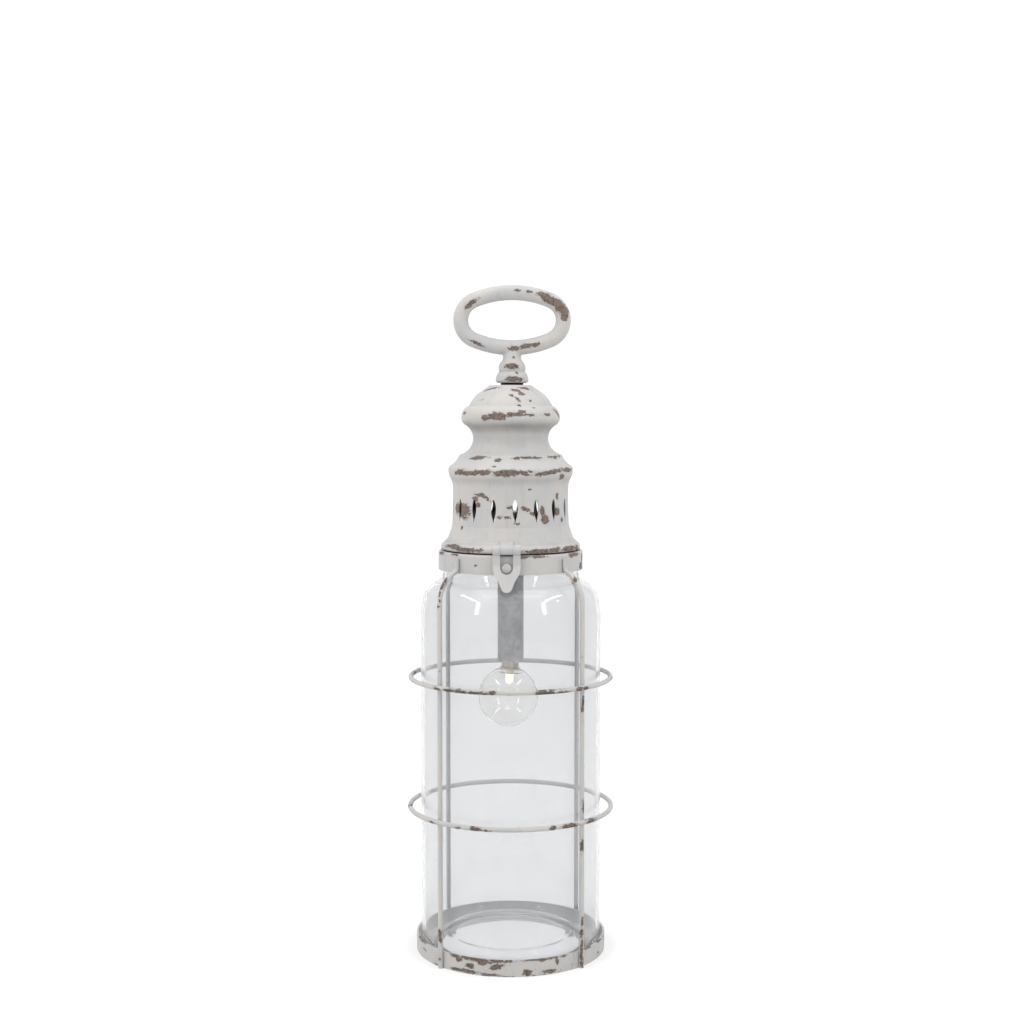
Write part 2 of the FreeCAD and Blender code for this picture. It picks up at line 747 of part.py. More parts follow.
# ---------------------------------------------------------------- latches

def place_at_pivot(body, facing):
    """Bring a latch piece drawn about its pivot to the front (-1) or the rear (1) of the lid."""
    place(body, across=dim("latch_shift") * -facing, back=dim("pivot_reach") * facing,
          up=dim("pivot_height"), rotation=HALF_TURN if facing > 0 else None)


def hinge_leaf(name, facing):
    """Barrel with a strap that is welded to the lid's skirt. Drawn with the pivot as origin."""
    body = new_body(name)
    barrel = new_sketch(body, name + "_barrel_outline", "YZ_Plane")
    draw_circle(barrel, 0, 0, dim("barrel_radius"))
    pad(body, name + "_barrel", barrel, dim("barrel_width"), both_ways=True)
    strap = new_sketch(body, name + "_strap_outline", "YZ_Plane")
    radius = dim("barrel_radius")
    root = dim("pivot_reach") - dim("leaf_root")
    top = dim("leaf_top_height") - dim("pivot_height")
    draw_path(strap, [
        (0, 0), (radius * 0.9, radius * -0.4), (radius + 1.2, 0.8), (root - 3.2, 2.8), (root, 4.3),
        (root, top), (root - 1.4, top), (radius * 0.2, radius * 0.97, 40, HUMP),
    ])
    pad(body, name + "_strap", strap, dim("barrel_width"), both_ways=True)
    bore = new_sketch(body, name + "_bore_outline", "YZ_Plane")
    draw_circle(bore, 0, 0, dim("pin_radius"))
    pocket(body, name + "_bore", bore, dim("hasp_width"), both_ways=True)
    place_at_pivot(body, facing)


def hinge_pin(name, facing):
    body = new_body(name)
    section = new_sketch(body, name + "_section", "YZ_Plane")
    draw_circle(section, 0, 0, dim("pin_radius"))
    pad(body, name + "_shank", section, dim("pin_length"), both_ways=True)
    place_at_pivot(body, facing)


def hasp(name, facing):
    """Fork that hangs from the pin: two eyes, two arms round the stud, and a kicked-out tail."""
    body = new_body(name)
    sheet_gauge, eye = dim("hasp_sheet"), dim("hasp_eye_radius")
    inner_face = dim("hasp_standoff")
    side = new_sketch(body, name + "_side_outline", "YZ_Plane")
    knee_reach, tail_reach = dim("hasp_knee_reach"), dim("hasp_tail_reach")
    draw_path(side, [
        (inner_face, 0),
        (inner_face - sheet_gauge, 0),
        (inner_face - sheet_gauge, -dim("hasp_bend_drop")),
        (inner_face - sheet_gauge - knee_reach, -dim("hasp_knee_drop")),
        (inner_face - sheet_gauge - tail_reach, -dim("hasp_length")),
        (inner_face - tail_reach, -dim("hasp_length")),
        (inner_face - knee_reach, -dim("hasp_knee_drop")),
        (inner_face, -dim("hasp_bend_drop")),
    ])
    pad(body, name + "_strip", side, dim("hasp_width"), both_ways=True)
    eyes = new_sketch(body, name + "_eye_outline", "YZ_Plane")
    draw_circle(eyes, 0, 0, eye)
    pad(body, name + "_eyes", eyes, dim("hasp_width"), both_ways=True)
    bore = new_sketch(body, name + "_bore_outline", "YZ_Plane")
    draw_circle(bore, 0, 0, dim("pin_radius") + dim("pin_clearance"))
    pocket(body, name + "_bore", bore, dim("hasp_width") + 2, both_ways=True)
    gap, curve = dim("hasp_gap") / 2, dim("hasp_slot_curve")
    slot = new_sketch(body, name + "_slot_outline", "XZ_Plane")
    slot_centre = curve - dim("hasp_slot_bottom")
    draw_path(slot, [
        (-curve, slot_centre), (0, -dim("hasp_slot_bottom"), curve, HUMP),
        (curve, slot_centre, curve, HUMP), (gap, eye * 2), (-gap, eye * 2),
    ])
    pocket(body, name + "_slot", slot, dim("hasp_width") * 2, both_ways=True)
    trim_hasp_flanks(body, name)
    place_at_pivot(body, facing)


def trim_hasp_flanks(body, name):
    """Cut the flanks away outside the fork's taper and its rounded tail."""
    half, neck = dim("hasp_width") / 2, dim("hasp_neck_width") / 2
    tail = dim("hasp_tail_width") / 2
    beyond, below = dim("hasp_width"), -dim("hasp_length") - 5
    for side, label in ((1, "_right_flank"), (-1, "_left_flank")):
        flank = new_sketch(body, name + label, "XZ_Plane")
        run = [
            (0, below), (beyond, below), (beyond, -dim("hasp_shoulder_drop")),
            (half, -dim("hasp_shoulder_drop")),
            (neck, -dim("hasp_neck_drop"), 16, HOLLOW),
            (tail, -dim("hasp_tail_drop")),
            (0, -dim("hasp_length"), tail * 1.02, HOLLOW),
        ]
        corners = run if side > 0 else mirrored(run)
        draw_path(flank, corners)
        pocket(body, name + label + "_cut", flank, dim("hasp_width") * 2, both_ways=True)


def mirrored(corners):
    """The same outline on the other side of the sketch's upright axis, still anticlockwise."""
    flipped = []
    for index in range(len(corners) - 1, -1, -1):
        leaving = corners[(index + 1) % len(corners)]
        across = corners[index][0]
        across = across if as_size(across).value == 0 else -across
        flipped.append((across, corners[index][1]) + tuple(leaving[2:]))
    return flipped


# ---------------------------------------------------------------- lamp

def lamp_plate():
    """Disc that closes the lid and carries the battery tube."""
    bottom = dim("lid_bottom") + dim("lid_wall")
    body = ring_body("lamp_plate", dim("tube_radius"), dim("plate_radius"),
                     bottom, bottom + dim("plate_thickness"))
    holes = new_sketch(body, "plate_hole_outline", "XY_Plane", bottom)
    draw_circle(holes, 0, dim("plate_screw_ring"), dim("plate_screw_radius"))
    drilled = pocket(body, "plate_hole", holes, dim("plate_thickness"), reverse=True)
    repeat_round(body, "plate_holes", drilled, dim("plate_screw_count"))
    place(body, rotation=FreeCAD.Rotation(FreeCAD.Vector(0, 0, 1), dim("vent_turn").value))


def plate_screws():
    """Pan-head screws up through the lid's flange into the plate, as one group."""
    count = int(dim("plate_screw_count").value)
    bottom = dim("lid_bottom") - dim("plate_screw_head_height")
    screws = []
    for number in range(count):
        turn = math.radians(90 + dim("vent_turn").value + number * 360 / count)
        across = dim("plate_screw_ring") * math.cos(turn)
        back = dim("plate_screw_ring") * math.sin(turn)
        head = doc.addObject("Part::Cylinder", f"plate_screw_head_{number}")
        bind(head, Radius=dim("plate_screw_head"), Height=dim("plate_screw_head_height"))
        place(head, across, back, bottom)
        shank = doc.addObject("Part::Cylinder", f"plate_screw_shank_{number}")
        bind(shank, Radius=dim("plate_screw_radius"), Height=dim("plate_screw_length"))
        place(shank, across, back, dim("lid_bottom"))
        screw = doc.addObject("Part::Fuse", f"plate_screw_{number}")
        screw.Base, screw.Tool = head, shank
        screws.append(screw)
    group = keep(doc.addObject("Part::Compound", "plate_screw_group"), "plate_screws")
    group.Links = screws


def battery_tube():
    outer, wall = dim("tube_radius"), dim("tube_wall")
    flange_top = dim("lid_bottom") + dim("lid_wall")
    flange = dim("tube_flange_radius")
    turned_body("battery_tube", [
        (outer - wall, dim("tube_bottom")), (outer, dim("tube_bottom")),
        (outer, flange_top - dim("tube_flange_thickness")),
        (flange, flange_top - dim("tube_flange_thickness")), (flange, flange_top),
        (outer, flange_top), (outer, dim("tube_top")), (outer - wall, dim("tube_top")),
    ])


def tube_lock_ring():
    bottom = dim("lid_bottom") + dim("lid_wall") + dim("plate_thickness")
    ring_body("tube_lock_ring", dim("tube_radius"), dim("lock_ring_radius"),
              bottom, bottom + dim("lock_ring_height"))


def tube_cap():
    """Screw cap with two turned grooves."""
    outer, root = dim("cap_radius"), dim("cap_radius") - dim("cap_groove_depth")
    top, skirt = dim("cap_top"), dim("tube_top") - dim("cap_skirt")
    turned_body("tube_cap", [
        (dim("tube_radius"), skirt), (outer, skirt), (outer, top - 3.6), (root, top - 3.6),
        (root, top - 2.8), (outer, top - 2.8), (outer, top - 1.9), (root, top - 1.9),
        (root, top - 1.1), (outer, top - 1.1), (outer, top), (0, top),
        (0, dim("tube_top")), (dim("tube_radius"), dim("tube_top")),
    ])


def cells():
    """Two cells in line, each with a raised contact at its upper end."""
    can, nub = dim("cell_radius"), dim("cell_nub_radius")
    for number, name in enumerate(("battery_lower", "battery_upper")):
        bottom = dim("cell_stack_bottom") + dim("cell_length") * number
        turned_body(name, [
            (0, bottom), (can - 1, bottom), (can, bottom + 1, 1.2, HUMP),
            (can, bottom + dim("cell_can_length") - 1),
            (can - 1, bottom + dim("cell_can_length"), 1.2, HUMP),
            (nub, bottom + dim("cell_can_length")), (nub, bottom + dim("cell_length")),
            (0, bottom + dim("cell_length")),
        ])


def battery_sleeve():
    bottom = dim("cell_stack_bottom")
    ring_body("battery_sleeve", dim("cell_radius") + dim("cell_play"), dim("sleeve_radius"),
              bottom, bottom + dim("cell_length") * 2)


def contact_spring():
    """Coil between the upper cell and the cap."""
    body = new_body("contact_spring")
    bottom = dim("cell_stack_bottom") + dim("cell_length") * 2 + dim("spring_wire")
    top = dim("tube_top") - dim("spring_wire")
    section = new_sketch(body, "spring_section", "XZ_Plane")
    draw_circle(section, dim("spring_radius"), bottom, dim("spring_wire"))
    coil = body.newObject("PartDesign::AdditiveHelix", "spring_coil")
    coil.Profile = section
    coil.ReferenceAxis = (section, ["V_Axis"])
    coil.Mode = "pitch-height-angle"
    bind(coil, Pitch=dim("spring_pitch"), Height=top - bottom)


def lamp_holder():
    """Insulating socket in the tube's mouth, with its roof under the lower cell."""
    roof = dim("cell_stack_bottom")
    turned_body("lamp_holder", [
        (dim("holder_bore"), dim("holder_bottom")), (dim("sleeve_radius"), dim("holder_bottom")),
        (dim("sleeve_radius"), roof), (0, roof), (0, roof - dim("holder_roof")),
        (dim("holder_bore"), roof - dim("holder_roof")),
    ])


def lean_with_bulb(body):
    """The bulb hangs a little askew in its holder, so its pieces turn about one point."""
    lean = FreeCAD.Rotation(FreeCAD.Vector(0, 1, 0), dim("bulb_lean").value)
    place(body, up=dim("bulb_pivot_height"), rotation=lean)


def bulb_cap():
    outer, wall = dim("bulb_cap_radius"), dim("bulb_cap_wall")
    ring, rise = dim("bulb_ring_radius"), dim("bulb_cap_rise")
    inner = outer - wall
    body = turned_body("bulb_cap", [
        (inner, -dim("bulb_ring_bottom")), (ring - wall, -dim("bulb_ring_bottom")),
        (ring, wall - dim("bulb_ring_bottom"), wall * 1.1, HUMP), (ring, -dim("bulb_ring_drop")),
        (outer, -dim("bulb_ring_drop") + 0.8), (outer, rise), (0, rise), (0, rise - wall),
        (inner, rise - wall),
    ])
    lean_with_bulb(body)


def bulb_globe():
    """Thin round glass with a short neck. Its outside and inside meet the neck in small curves."""
    outer, wall = dim("globe_radius"), dim("globe_wall")
    neck, joint, curve = dim("globe_neck_radius"), dim("globe_joint_radius"), dim("globe_neck_curve")
    centre = -dim("globe_drop")
    outer_joint_up = math.sqrt(outer.value ** 2 - joint.value ** 2)
    inner_up = math.sqrt((outer - wall).value ** 2 - (joint - wall * 0.6).value ** 2)
    body = turned_body("bulb_globe", [
        (0, centre - outer), (outer, centre, outer, HUMP), (joint, centre + outer_joint_up, outer, HUMP),
        (neck, -dim("globe_neck_bottom"), curve, HOLLOW), (neck, -dim("globe_neck_top")),
        (neck - wall, -dim("globe_neck_top")), (neck - wall, -dim("globe_neck_bottom") - wall * 0.4),
        (joint - wall * 0.6, centre + inner_up, curve + wall, HUMP),
        (outer - wall, centre, outer - wall, HOLLOW), (0, centre - outer + wall, outer - wall, HOLLOW),
    ])
    lean_with_bulb(body)


def led_mount():
    """Disc across the globe's neck with a post down to the light source."""
    board, post = dim("globe_neck_radius") - dim("globe_wall"), dim("led_post_radius")
    top, thickness = -dim("led_board_drop"), dim("led_board_thickness")
    body = turned_body("led_mount", [
        (0, -dim("led_top_drop")), (post * 0.8, -dim("led_top_drop")), (post, top - thickness - 3),
        (post, top - thickness), (board - 0.2, top - thickness), (board - 0.2, top), (0, top),
    ])
    lean_with_bulb(body)


def led():
    flange, radius = dim("led_flange_radius"), dim("led_radius")
    top, length = -dim("led_top_drop"), dim("led_length")
    flange_bottom = top - dim("led_flange_height")
    body = turned_body("led", [
        (0, top - length), (radius, top - length + radius, radius, HUMP), (radius, flange_bottom),
        (flange, flange_bottom), (flange, top), (0, top),
    ])
    lean_with_bulb(body)


def box(name, width, depth, height, back, up):
    """Upright block centred across, with its near face at a distance back."""
    block = doc.addObject("Part::Box", name)
    bind(block, Length=width, Width=depth, Height=height)
    place(block, across=-width / 2, back=back, up=up)
    return block


def switch_housing():
    """Block on the back of the tube, hollowed to the tube and slotted for the slider."""
    near = dim("tube_radius") - 1.4
    block = box("switch_block", dim("switch_width"), dim("switch_reach") - near,
                dim("switch_height"), near, dim("switch_bottom"))
    slot = box("switch_slot", dim("switch_slot_width"), dim("switch_slot_depth") + 1,
               dim("switch_slot_height"), dim("switch_reach") - dim("switch_slot_depth"),
               dim("switch_bottom") + (dim("switch_height") - dim("switch_slot_height")) / 2)
    seat = doc.addObject("Part::Cylinder", "switch_seat")
    bind(seat, Radius=dim("tube_radius"), Height=dim("switch_height") * 2)
    place(seat, up=dim("switch_bottom") - 5)
    slotted = doc.addObject("Part::Cut", "switch_slotted")
    slotted.Base, slotted.Tool = block, slot
    housing = keep(doc.addObject("Part::Cut", "switch_fitted"), "switch_housing")
    housing.Base, housing.Tool = slotted, seat


def switch_slider():
    slot_bottom = dim("switch_bottom") + (dim("switch_height") - dim("switch_slot_height")) / 2
    gap = dim("slider_gap")
    near = dim("switch_reach") - dim("switch_slot_depth") + gap
    block = box("slider_block", dim("slider_width"), dim("slider_reach") - near,
                dim("slider_height"), near, slot_bottom + gap)
    keep(block, "switch_slider")


def build():
    fill_sheet()
    base_ring()
    glass_jar()
    cage_rods()
    hoop("upper_hoop", dim("upper_hoop_radius"), dim("upper_hoop_height"))
    hoop("lower_hoop", dim("lower_hoop_radius"), dim("lower_hoop_height"))
    collar_band()
    collar_gasket()
    lid_shell()
    handle()
    handle_washer()
    handle_screw()
    for side, facing in (("front", -1), ("rear", 1)):
        latch_stud(side + "_stud", facing)
        hinge_leaf(side + "_hinge_leaf", facing)
        hinge_pin(side + "_hinge_pin", facing)
        hasp(side + "_hasp", facing)
    lamp_plate()
    plate_screws()
    battery_tube()
    tube_lock_ring()
    tube_cap()
    cells()
    battery_sleeve()
    contact_spring()
    lamp_holder()
    bulb_cap()
    bulb_globe()
    led_mount()
    led()
    switch_housing()
    switch_slider()
    doc.recompute()


def check():
    """Stop if any object failed, or any sub-part is empty or broken."""
    for thing in doc.Objects:
        faults = [state for state in thing.State if state in ("Invalid", "Error")]
        if faults:
            raise RuntimeError(f"{thing.Name} failed: {faults}")
    for thing in nodes:
        if thing.Shape.isNull() or not thing.Shape.isValid():
            raise RuntimeError(f"{thing.Label} has no valid shape")


def export():
    os.makedirs("parts", exist_ok=True)
    for thing in nodes:
        thing.Shape.exportStep(f"parts/{thing.Label}.step")


build()
check()
export()
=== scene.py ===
import math

import bmesh
import bpy
from mathutils import Matrix, Vector
from mathutils.bvhtree import BVHTree


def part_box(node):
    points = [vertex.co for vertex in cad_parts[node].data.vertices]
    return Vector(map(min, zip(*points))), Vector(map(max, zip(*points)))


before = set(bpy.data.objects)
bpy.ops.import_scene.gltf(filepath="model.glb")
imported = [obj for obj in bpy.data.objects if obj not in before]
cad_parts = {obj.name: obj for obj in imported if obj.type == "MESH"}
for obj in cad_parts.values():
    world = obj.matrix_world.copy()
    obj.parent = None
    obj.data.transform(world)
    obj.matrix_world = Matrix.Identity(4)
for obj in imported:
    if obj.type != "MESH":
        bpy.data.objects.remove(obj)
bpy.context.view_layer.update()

MM = 0.001


def lin(red, green, blue):
    """A colour given as 8-bit sRGB, in linear light with alpha."""
    channels = []
    for value in (red, green, blue):
        share = value / 255
        channels.append(share / 12.92 if share <= 0.04045 else ((share + 0.055) / 1.055) ** 2.4)
    return (*channels, 1.0)


def darker(colour, share):
    """A colour with only a share of its light left."""
    return (*(channel * share for channel in colour[:3]), 1.0)


# ---------------------------------------------------------------- node helpers

class Tree:
    """Short calls that add nodes to one material."""

    # A mix node has sockets for several kinds of value; these are the ones for colours.
    MIX_INPUTS = (0, 6, 7)
    MIX_OUTPUT = 2
    NEXT_TO_NOTHING = 1e-9

    def __init__(self, name):
        self.material = bpy.data.materials.new(name)
        self.material.use_nodes = True
        self.nodes = self.material.node_tree.nodes
        self.links = self.material.node_tree.links
        self.nodes.clear()
        self.point = self.nodes.new("ShaderNodeTexCoord").outputs["Object"]

    def feed(self, socket, value):
        """Links another node's output to a socket, or sets a plain value on it."""
        if isinstance(value, bpy.types.NodeSocket):
            self.links.new(value, socket)
        else:
            socket.default_value = value

    def fill(self, node, **values):
        """Feeds a node's inputs by their names, written with _ for a space."""
        for name, value in values.items():
            self.feed(node.inputs[name.replace("_", " ")], value)

    def math(self, operation, *values):
        node = self.nodes.new("ShaderNodeMath")
        node.operation = operation
        for socket, value in zip(node.inputs, values):
            self.feed(socket, value)
        return node.outputs[0]

    def add(self, first, second):
        return self.math("ADD", first, second)

    def times(self, first, second):
        return self.math("MULTIPLY", first, second)

    def gap(self, first, second):
        """How far apart two values are."""
        return self.math("ABSOLUTE", self.math("SUBTRACT", first, second))

    def larger(self, first, second):
        """The larger of two values, or the second while there is no first."""
        return second if first is None else self.math("MAXIMUM", first, second)

    def noise(self, size, detail=2.0, roughness=0.5, stretch=(1, 1, 1), seed=0.0):
        """Noise whose features are about size metres across, from 0 to 1 round 0.5."""
        mapping = self.nodes.new("ShaderNodeMapping")
        shift = (seed, seed * 0.7, seed * 1.3)
        self.fill(mapping, Vector=self.point, Location=shift, Scale=stretch)
        node = self.nodes.new("ShaderNodeTexNoise")
        self.fill(node, Vector=mapping.outputs[0], Scale=1 / size, Detail=detail, Roughness=roughness)
        return node.outputs["Fac"]

    def step(self, value, low, high, to_low=0.0, to_high=1.0):
        """Goes smoothly from to_low to to_high while value goes from low to high."""
        node = self.nodes.new("ShaderNodeMapRange")
        node.interpolation_type = "SMOOTHSTEP"
        self.fill(node, Value=value, From_Min=low, From_Max=high, To_Min=to_low, To_Max=to_high)
        return node.outputs[0]

    def mix(self, factor, first, second):
        """A blend from the first colour to the second."""
        node = self.nodes.new("ShaderNodeMix")
        node.data_type = "RGBA"
        for index, value in zip(self.MIX_INPUTS, (factor, first, second)):
            self.feed(node.inputs[index], value)
        return node.outputs[self.MIX_OUTPUT]

    def axis(self, name):
        """The surface point's X, Y or Z in metres."""
        node = self.nodes.new("ShaderNodeSeparateXYZ")
        self.links.new(self.point, node.inputs[0])
        return node.outputs[name]

    def bump(self, height, distance, strength):
        """A normal that follows a height."""
        node = self.nodes.new("ShaderNodeBump")
        self.fill(node, Height=height, Distance=distance, Strength=strength)
        return node.outputs[0]

    def after(self, value):
        """The surface point, worked out after value, so that a long row of patches fits in memory."""
        node = self.nodes.new("ShaderNodeVectorMath")
        node.operation = "MULTIPLY_ADD"
        for socket, given in zip(node.inputs, (value, (self.NEXT_TO_NOTHING,) * 3, self.point)):
            self.feed(socket, given)
        return node.outputs[0]

    def shader(self, **sockets):
        node = self.nodes.new("ShaderNodeBsdfPrincipled")
        self.fill(node, **sockets)
        return node.outputs[0]

    def close(self, surface):
        """Ends the material with its surface."""
        output = self.nodes.new("ShaderNodeOutputMaterial")
        self.links.new(surface, output.inputs["Surface"])
        return self.material


# ---------------------------------------------------------------- worn patches

# Rays start this many metres from the axis, well clear of the lantern.
RAY_START = 0.3

# A patch reaches this many mm into the surface: far enough to follow a turned wall, less on a rod or the
# handle, and so little behind on the base that the wall's inner face stays whole.
PATCH_DEPTH = 7.0
SLIM_PATCH_DEPTH = 3.0
BASE_REAR_PATCH_DEPTH = 1.2

# A patch's depth rises from 0 at its edge to its smaller half size in its middle, but to no more than this
# many mm, times the gain.
EDGE_REACH = 2.4
EDGE_GAIN = 1.15

# Where the surface is this nearly level, a patch lies along X.
NEARLY_LEVEL = 0.05

SURFACES = {}


def surface_hit(node, origin, direction):
    """Where a ray first meets a CAD node, and the outward normal there."""
    if node not in SURFACES:
        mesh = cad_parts[node].data
        corners = [vertex.co.copy() for vertex in mesh.vertices]
        faces = [tuple(face.vertices) for face in mesh.polygons]
        SURFACES[node] = BVHTree.FromPolygons(corners, faces)
    point, normal, _, _ = SURFACES[node].ray_cast(Vector(origin), Vector(direction).normalized())
    if point is None:
        raise ValueError(f"no surface of {node} there")
    if normal.dot(Vector(direction)) > 0:
        normal = -normal
    return point, normal


def round_hit(node, azimuth, height):
    """The outer surface of a turned node at an azimuth (0 in front, + to the right)."""
    angle = math.radians(azimuth)
    outward = Vector((math.sin(angle), -math.cos(angle), 0))
    origin = outward * RAY_START + Vector((0, 0, height * MM))
    return surface_hit(node, origin, -outward)


def front_hit(node, sideways, height, side):
    """The front (side -1) or back (side 1) surface of a node at a place across and up."""
    return surface_hit(node, (sideways * MM, side * RAY_START, height * MM), (0, -side, 0))


class Patch:
    """A worn patch: an ellipse lying on the surface, with its half sizes in mm and its tilt in degrees."""

    def __init__(self, hit, wide, high, tilt, depth):
        point, normal = hit
        along = Vector((0, 0, 1)).cross(normal)
        if along.length < NEARLY_LEVEL:
            along = Vector((1, 0, 0))
        along.normalize()
        up = normal.cross(along).normalized()
        turn = Matrix.Rotation(math.radians(tilt), 3, normal)
        basis = Matrix((turn @ along, turn @ up, normal)).transposed()
        self.place = point
        self.turn = basis.to_euler("XYZ")
        self.size = (wide * MM, high * MM, depth * MM)
        self.reach = min(wide, high, EDGE_REACH) * EDGE_GAIN


def around(node, rows, depth=PATCH_DEPTH):
    """Patches on a turned node from rows of azimuth, height, half width, half height, tilt."""
    return [Patch(round_hit(node, *row[:2]), *row[2:], depth=depth) for row in rows]


def across(node, rows, side=-1):
    """Patches on a node from rows of place across, height, half width, half height, tilt."""
    return [Patch(front_hit(node, *row[:2], side=side), *row[2:], depth=SLIM_PATCH_DEPTH) for row in rows]


def patch_field(tree, patches):
    """Depth inside the nearest of the patches in mm: 0 at its edge and less than 0 outside."""
    field = None
    for patch in patches:
        start = tree.point if field is None else tree.after(field)
        mapping = tree.nodes.new("ShaderNodeMapping")
        mapping.vector_type = "TEXTURE"
        tree.fill(mapping, Vector=start, Location=patch.place, Rotation=patch.turn, Scale=patch.size)
        length = tree.nodes.new("ShaderNodeVectorMath")
        length.operation = "LENGTH"
        tree.links.new(mapping.outputs[0], length.inputs[0])
        inward = tree.math("MULTIPLY_ADD", length.outputs["Value"], -patch.reach, patch.reach)
        field = tree.larger(field, inward)
    return field


# ---------------------------------------------------------------- paint over bare metal

PAINT = lin(175, 172, 168)
PAINT_LATCH = lin(176, 174, 172)
PAINT_COOL = lin(167, 167, 168)
PAINT_STAIN = lin(155, 149, 141)
PAINTED_SHADE = lin(112, 109, 108)
# Painted shade: the grey that the coat is darkened towards under the bead, under the ridge and next to the
# collar.
UNDER = lin(112, 97, 87)
UNDER_DARK = lin(58, 47, 40)
UNDER_PALE = lin(139, 123, 109)

# Depth in mm where there is no patch at all: far outside any worn place.
NO_PATCH = -9.0

# A band is worn where its noise is over a level, which is lower the more of the band is worn. Elsewhere its
# depth is reduced by this many mm.
BAND_LEVEL = 0.62
BAND_FADE = 0.12
BAND_WEAKNESS = 0.3
BAND_WHOLE = -5.0

# Specks show where their noise is over a level, which is lower where the paint is weak.
SPECK_LEVEL = 0.78
SPECK_WEAKNESS = 0.12


def paint_edge(tree, seed, ragged):
    """How far, in mm, the edge of the paint strays in and out, and the two finer noises it is made of."""
    broad = tree.noise(7 * MM, 2.0, 0.5, seed=seed + 1)
    middle = tree.noise(2.5 * MM, 3.0, 0.65, stretch=(1, 1, 1.4), seed=seed + 2)
    fine = tree.noise(1.0 * MM, 3.0, 0.7, seed=seed + 3)
    stray = tree.times(tree.add(broad, -0.5), 3.0 * ragged)
    stray = tree.add(stray, tree.times(tree.add(middle, -0.5), 6.0 * ragged))
    stray = tree.add(stray, tree.times(tree.add(fine, -0.5), 5.5 * ragged))
    return stray, middle, fine


def band_field(tree, bands, seed):
    """Depth in mm inside broken bands round the axis. Each band is (height, half width, share worn)."""
    height = tree.axis("Z")
    runs = tree.noise(24 * MM, 2.0, 0.6, seed=seed)
    field = None
    for level, half, worn in bands:
        near = tree.math("MULTIPLY_ADD", tree.gap(height, level * MM), -1 / MM, half)
        start = BAND_LEVEL - BAND_WEAKNESS * worn
        broken = tree.step(runs, start, start + BAND_FADE, BAND_WHOLE, 0.0)
        field = tree.larger(field, tree.add(near, broken))
    return field


def speck_field(tree, specks, seed):
    """How far the speck noise is over its level: more than 0 inside a speck."""
    gate = tree.noise(17 * MM, 2.0, 0.5, seed=seed + 5)
    dots = tree.noise(1.5 * MM, 2.0, 0.55, stretch=(1, 1, 1.3), seed=seed + 6)
    level = tree.step(gate, 0.45, 0.75, SPECK_LEVEL, SPECK_LEVEL - SPECK_WEAKNESS * specks)
    return tree.math("SUBTRACT", dots, level)


def painted_shade_share(tree, painted_shade, cloud):
    """How much painted shade darkens the coat. Each row of painted shade is (height, half width, share)
    with sizes in mm.
    """
    height = tree.axis("Z")
    darkening = None
    for level, half, share in painted_shade:
        here = tree.step(tree.gap(height, level * MM), 0.0, half * MM, share, 0.0)
        darkening = tree.larger(darkening, here)
    return tree.times(darkening, tree.step(cloud, 0.3, 0.65, 0.7, 1.1))


def coat_colour(tree, paint, painted_shade, drag, seed):
    """The paint's colour: cooler clouds, upright stains, and painted shade in the height bands where shade
    falls.
    """
    cloud = tree.noise(30 * MM, 3.0, 0.55, seed=seed + 7)
    coat = tree.mix(tree.step(cloud, 0.35, 0.68), paint, PAINT_COOL)
    coat = tree.mix(tree.step(drag, 0.52, 0.82, 0.0, 0.45), coat, PAINT_STAIN)
    # Painted shade: the coat is darkened towards grey in the given height bands.
    if painted_shade:
        coat = tree.mix(painted_shade_share(tree, painted_shade, cloud), coat, PAINTED_SHADE)
    return coat


def metal_colour(tree, worn_depth, middle, fine, rust):
    """The bare metal's colour: dark along the paint's edge, with dark and pale flecks inside."""
    rim = tree.step(worn_depth, 0.15, 0.95)
    dark = tree.step(middle, 0.42 + rust * 0.1, 0.56 + rust * 0.1, 0.55 + rust * 0.3, 0.0)
    pale = tree.step(fine, 0.55, 0.75, 0.0, 0.6 - rust * 0.5)
    metal = tree.mix(rim, UNDER_DARK, UNDER)
    metal = tree.mix(dark, metal, UNDER_DARK)
    return tree.mix(pale, metal, UNDER_PALE)


def chipped_paint(name, patches, bands, specks, seed, ragged=0.8, paint=PAINT, painted_shade=(), rust=0.0):
    """Matt white paint, worn through in ragged patches, in broken bands and in scattered specks."""
    tree = Tree(name)
    stray, middle, fine = paint_edge(tree, seed, ragged)
    field = patch_field(tree, patches) if patches else tree.add(NO_PATCH, 0.0)
    if bands:
        field = tree.larger(field, band_field(tree, bands, seed + 4))
    worn_depth = tree.add(field, stray)
    speck = speck_field(tree, specks, seed)
    chip = tree.larger(tree.step(worn_depth, -0.04, 0.10), tree.step(speck, 0.0, 0.02))
    halo = tree.larger(tree.step(worn_depth, -0.7, 0.0), tree.step(speck, -0.03, 0.01))

    drag = tree.noise(5 * MM, 3.0, 0.6, stretch=(1, 1, 0.25), seed=seed + 8)
    coat = coat_colour(tree, paint, painted_shade, drag, seed)
    coat = tree.mix(tree.times(halo, 0.30), coat, UNDER_PALE)
    colour = tree.mix(chip, coat, metal_colour(tree, worn_depth, middle, fine, rust))

    # The coat stands up from the metal, with a slow roll and a fine grain of its own, and is the glossier.
    grain = tree.noise(0.55 * MM, 2.0, 0.6, seed=seed + 9)
    roll = tree.noise(4.5 * MM, 2.0, 0.5, seed=seed + 10)
    skin = tree.add(tree.times(grain, 0.10), tree.times(roll, 0.75))
    height = tree.add(skin, tree.math("SUBTRACT", 1.0, chip))
    roughness = tree.add(tree.times(chip, 0.16), tree.step(drag, 0.3, 0.75, 0.48, 0.62))
    normal = tree.bump(height, 0.2 * MM, 0.9)
    surface = tree.shader(Base_Color=colour, Roughness=roughness, Normal=normal, IOR=1.45)
    return tree.close(surface)


# ---------------------------------------------------------------- other materials

GLASS_RIPPLE = 0.03 * MM
GLASS_BEND = 1.05
GLASS_SKIN_IOR = 1.5
GLASS_SHADOW = (0.985, 0.987, 0.988, 1)


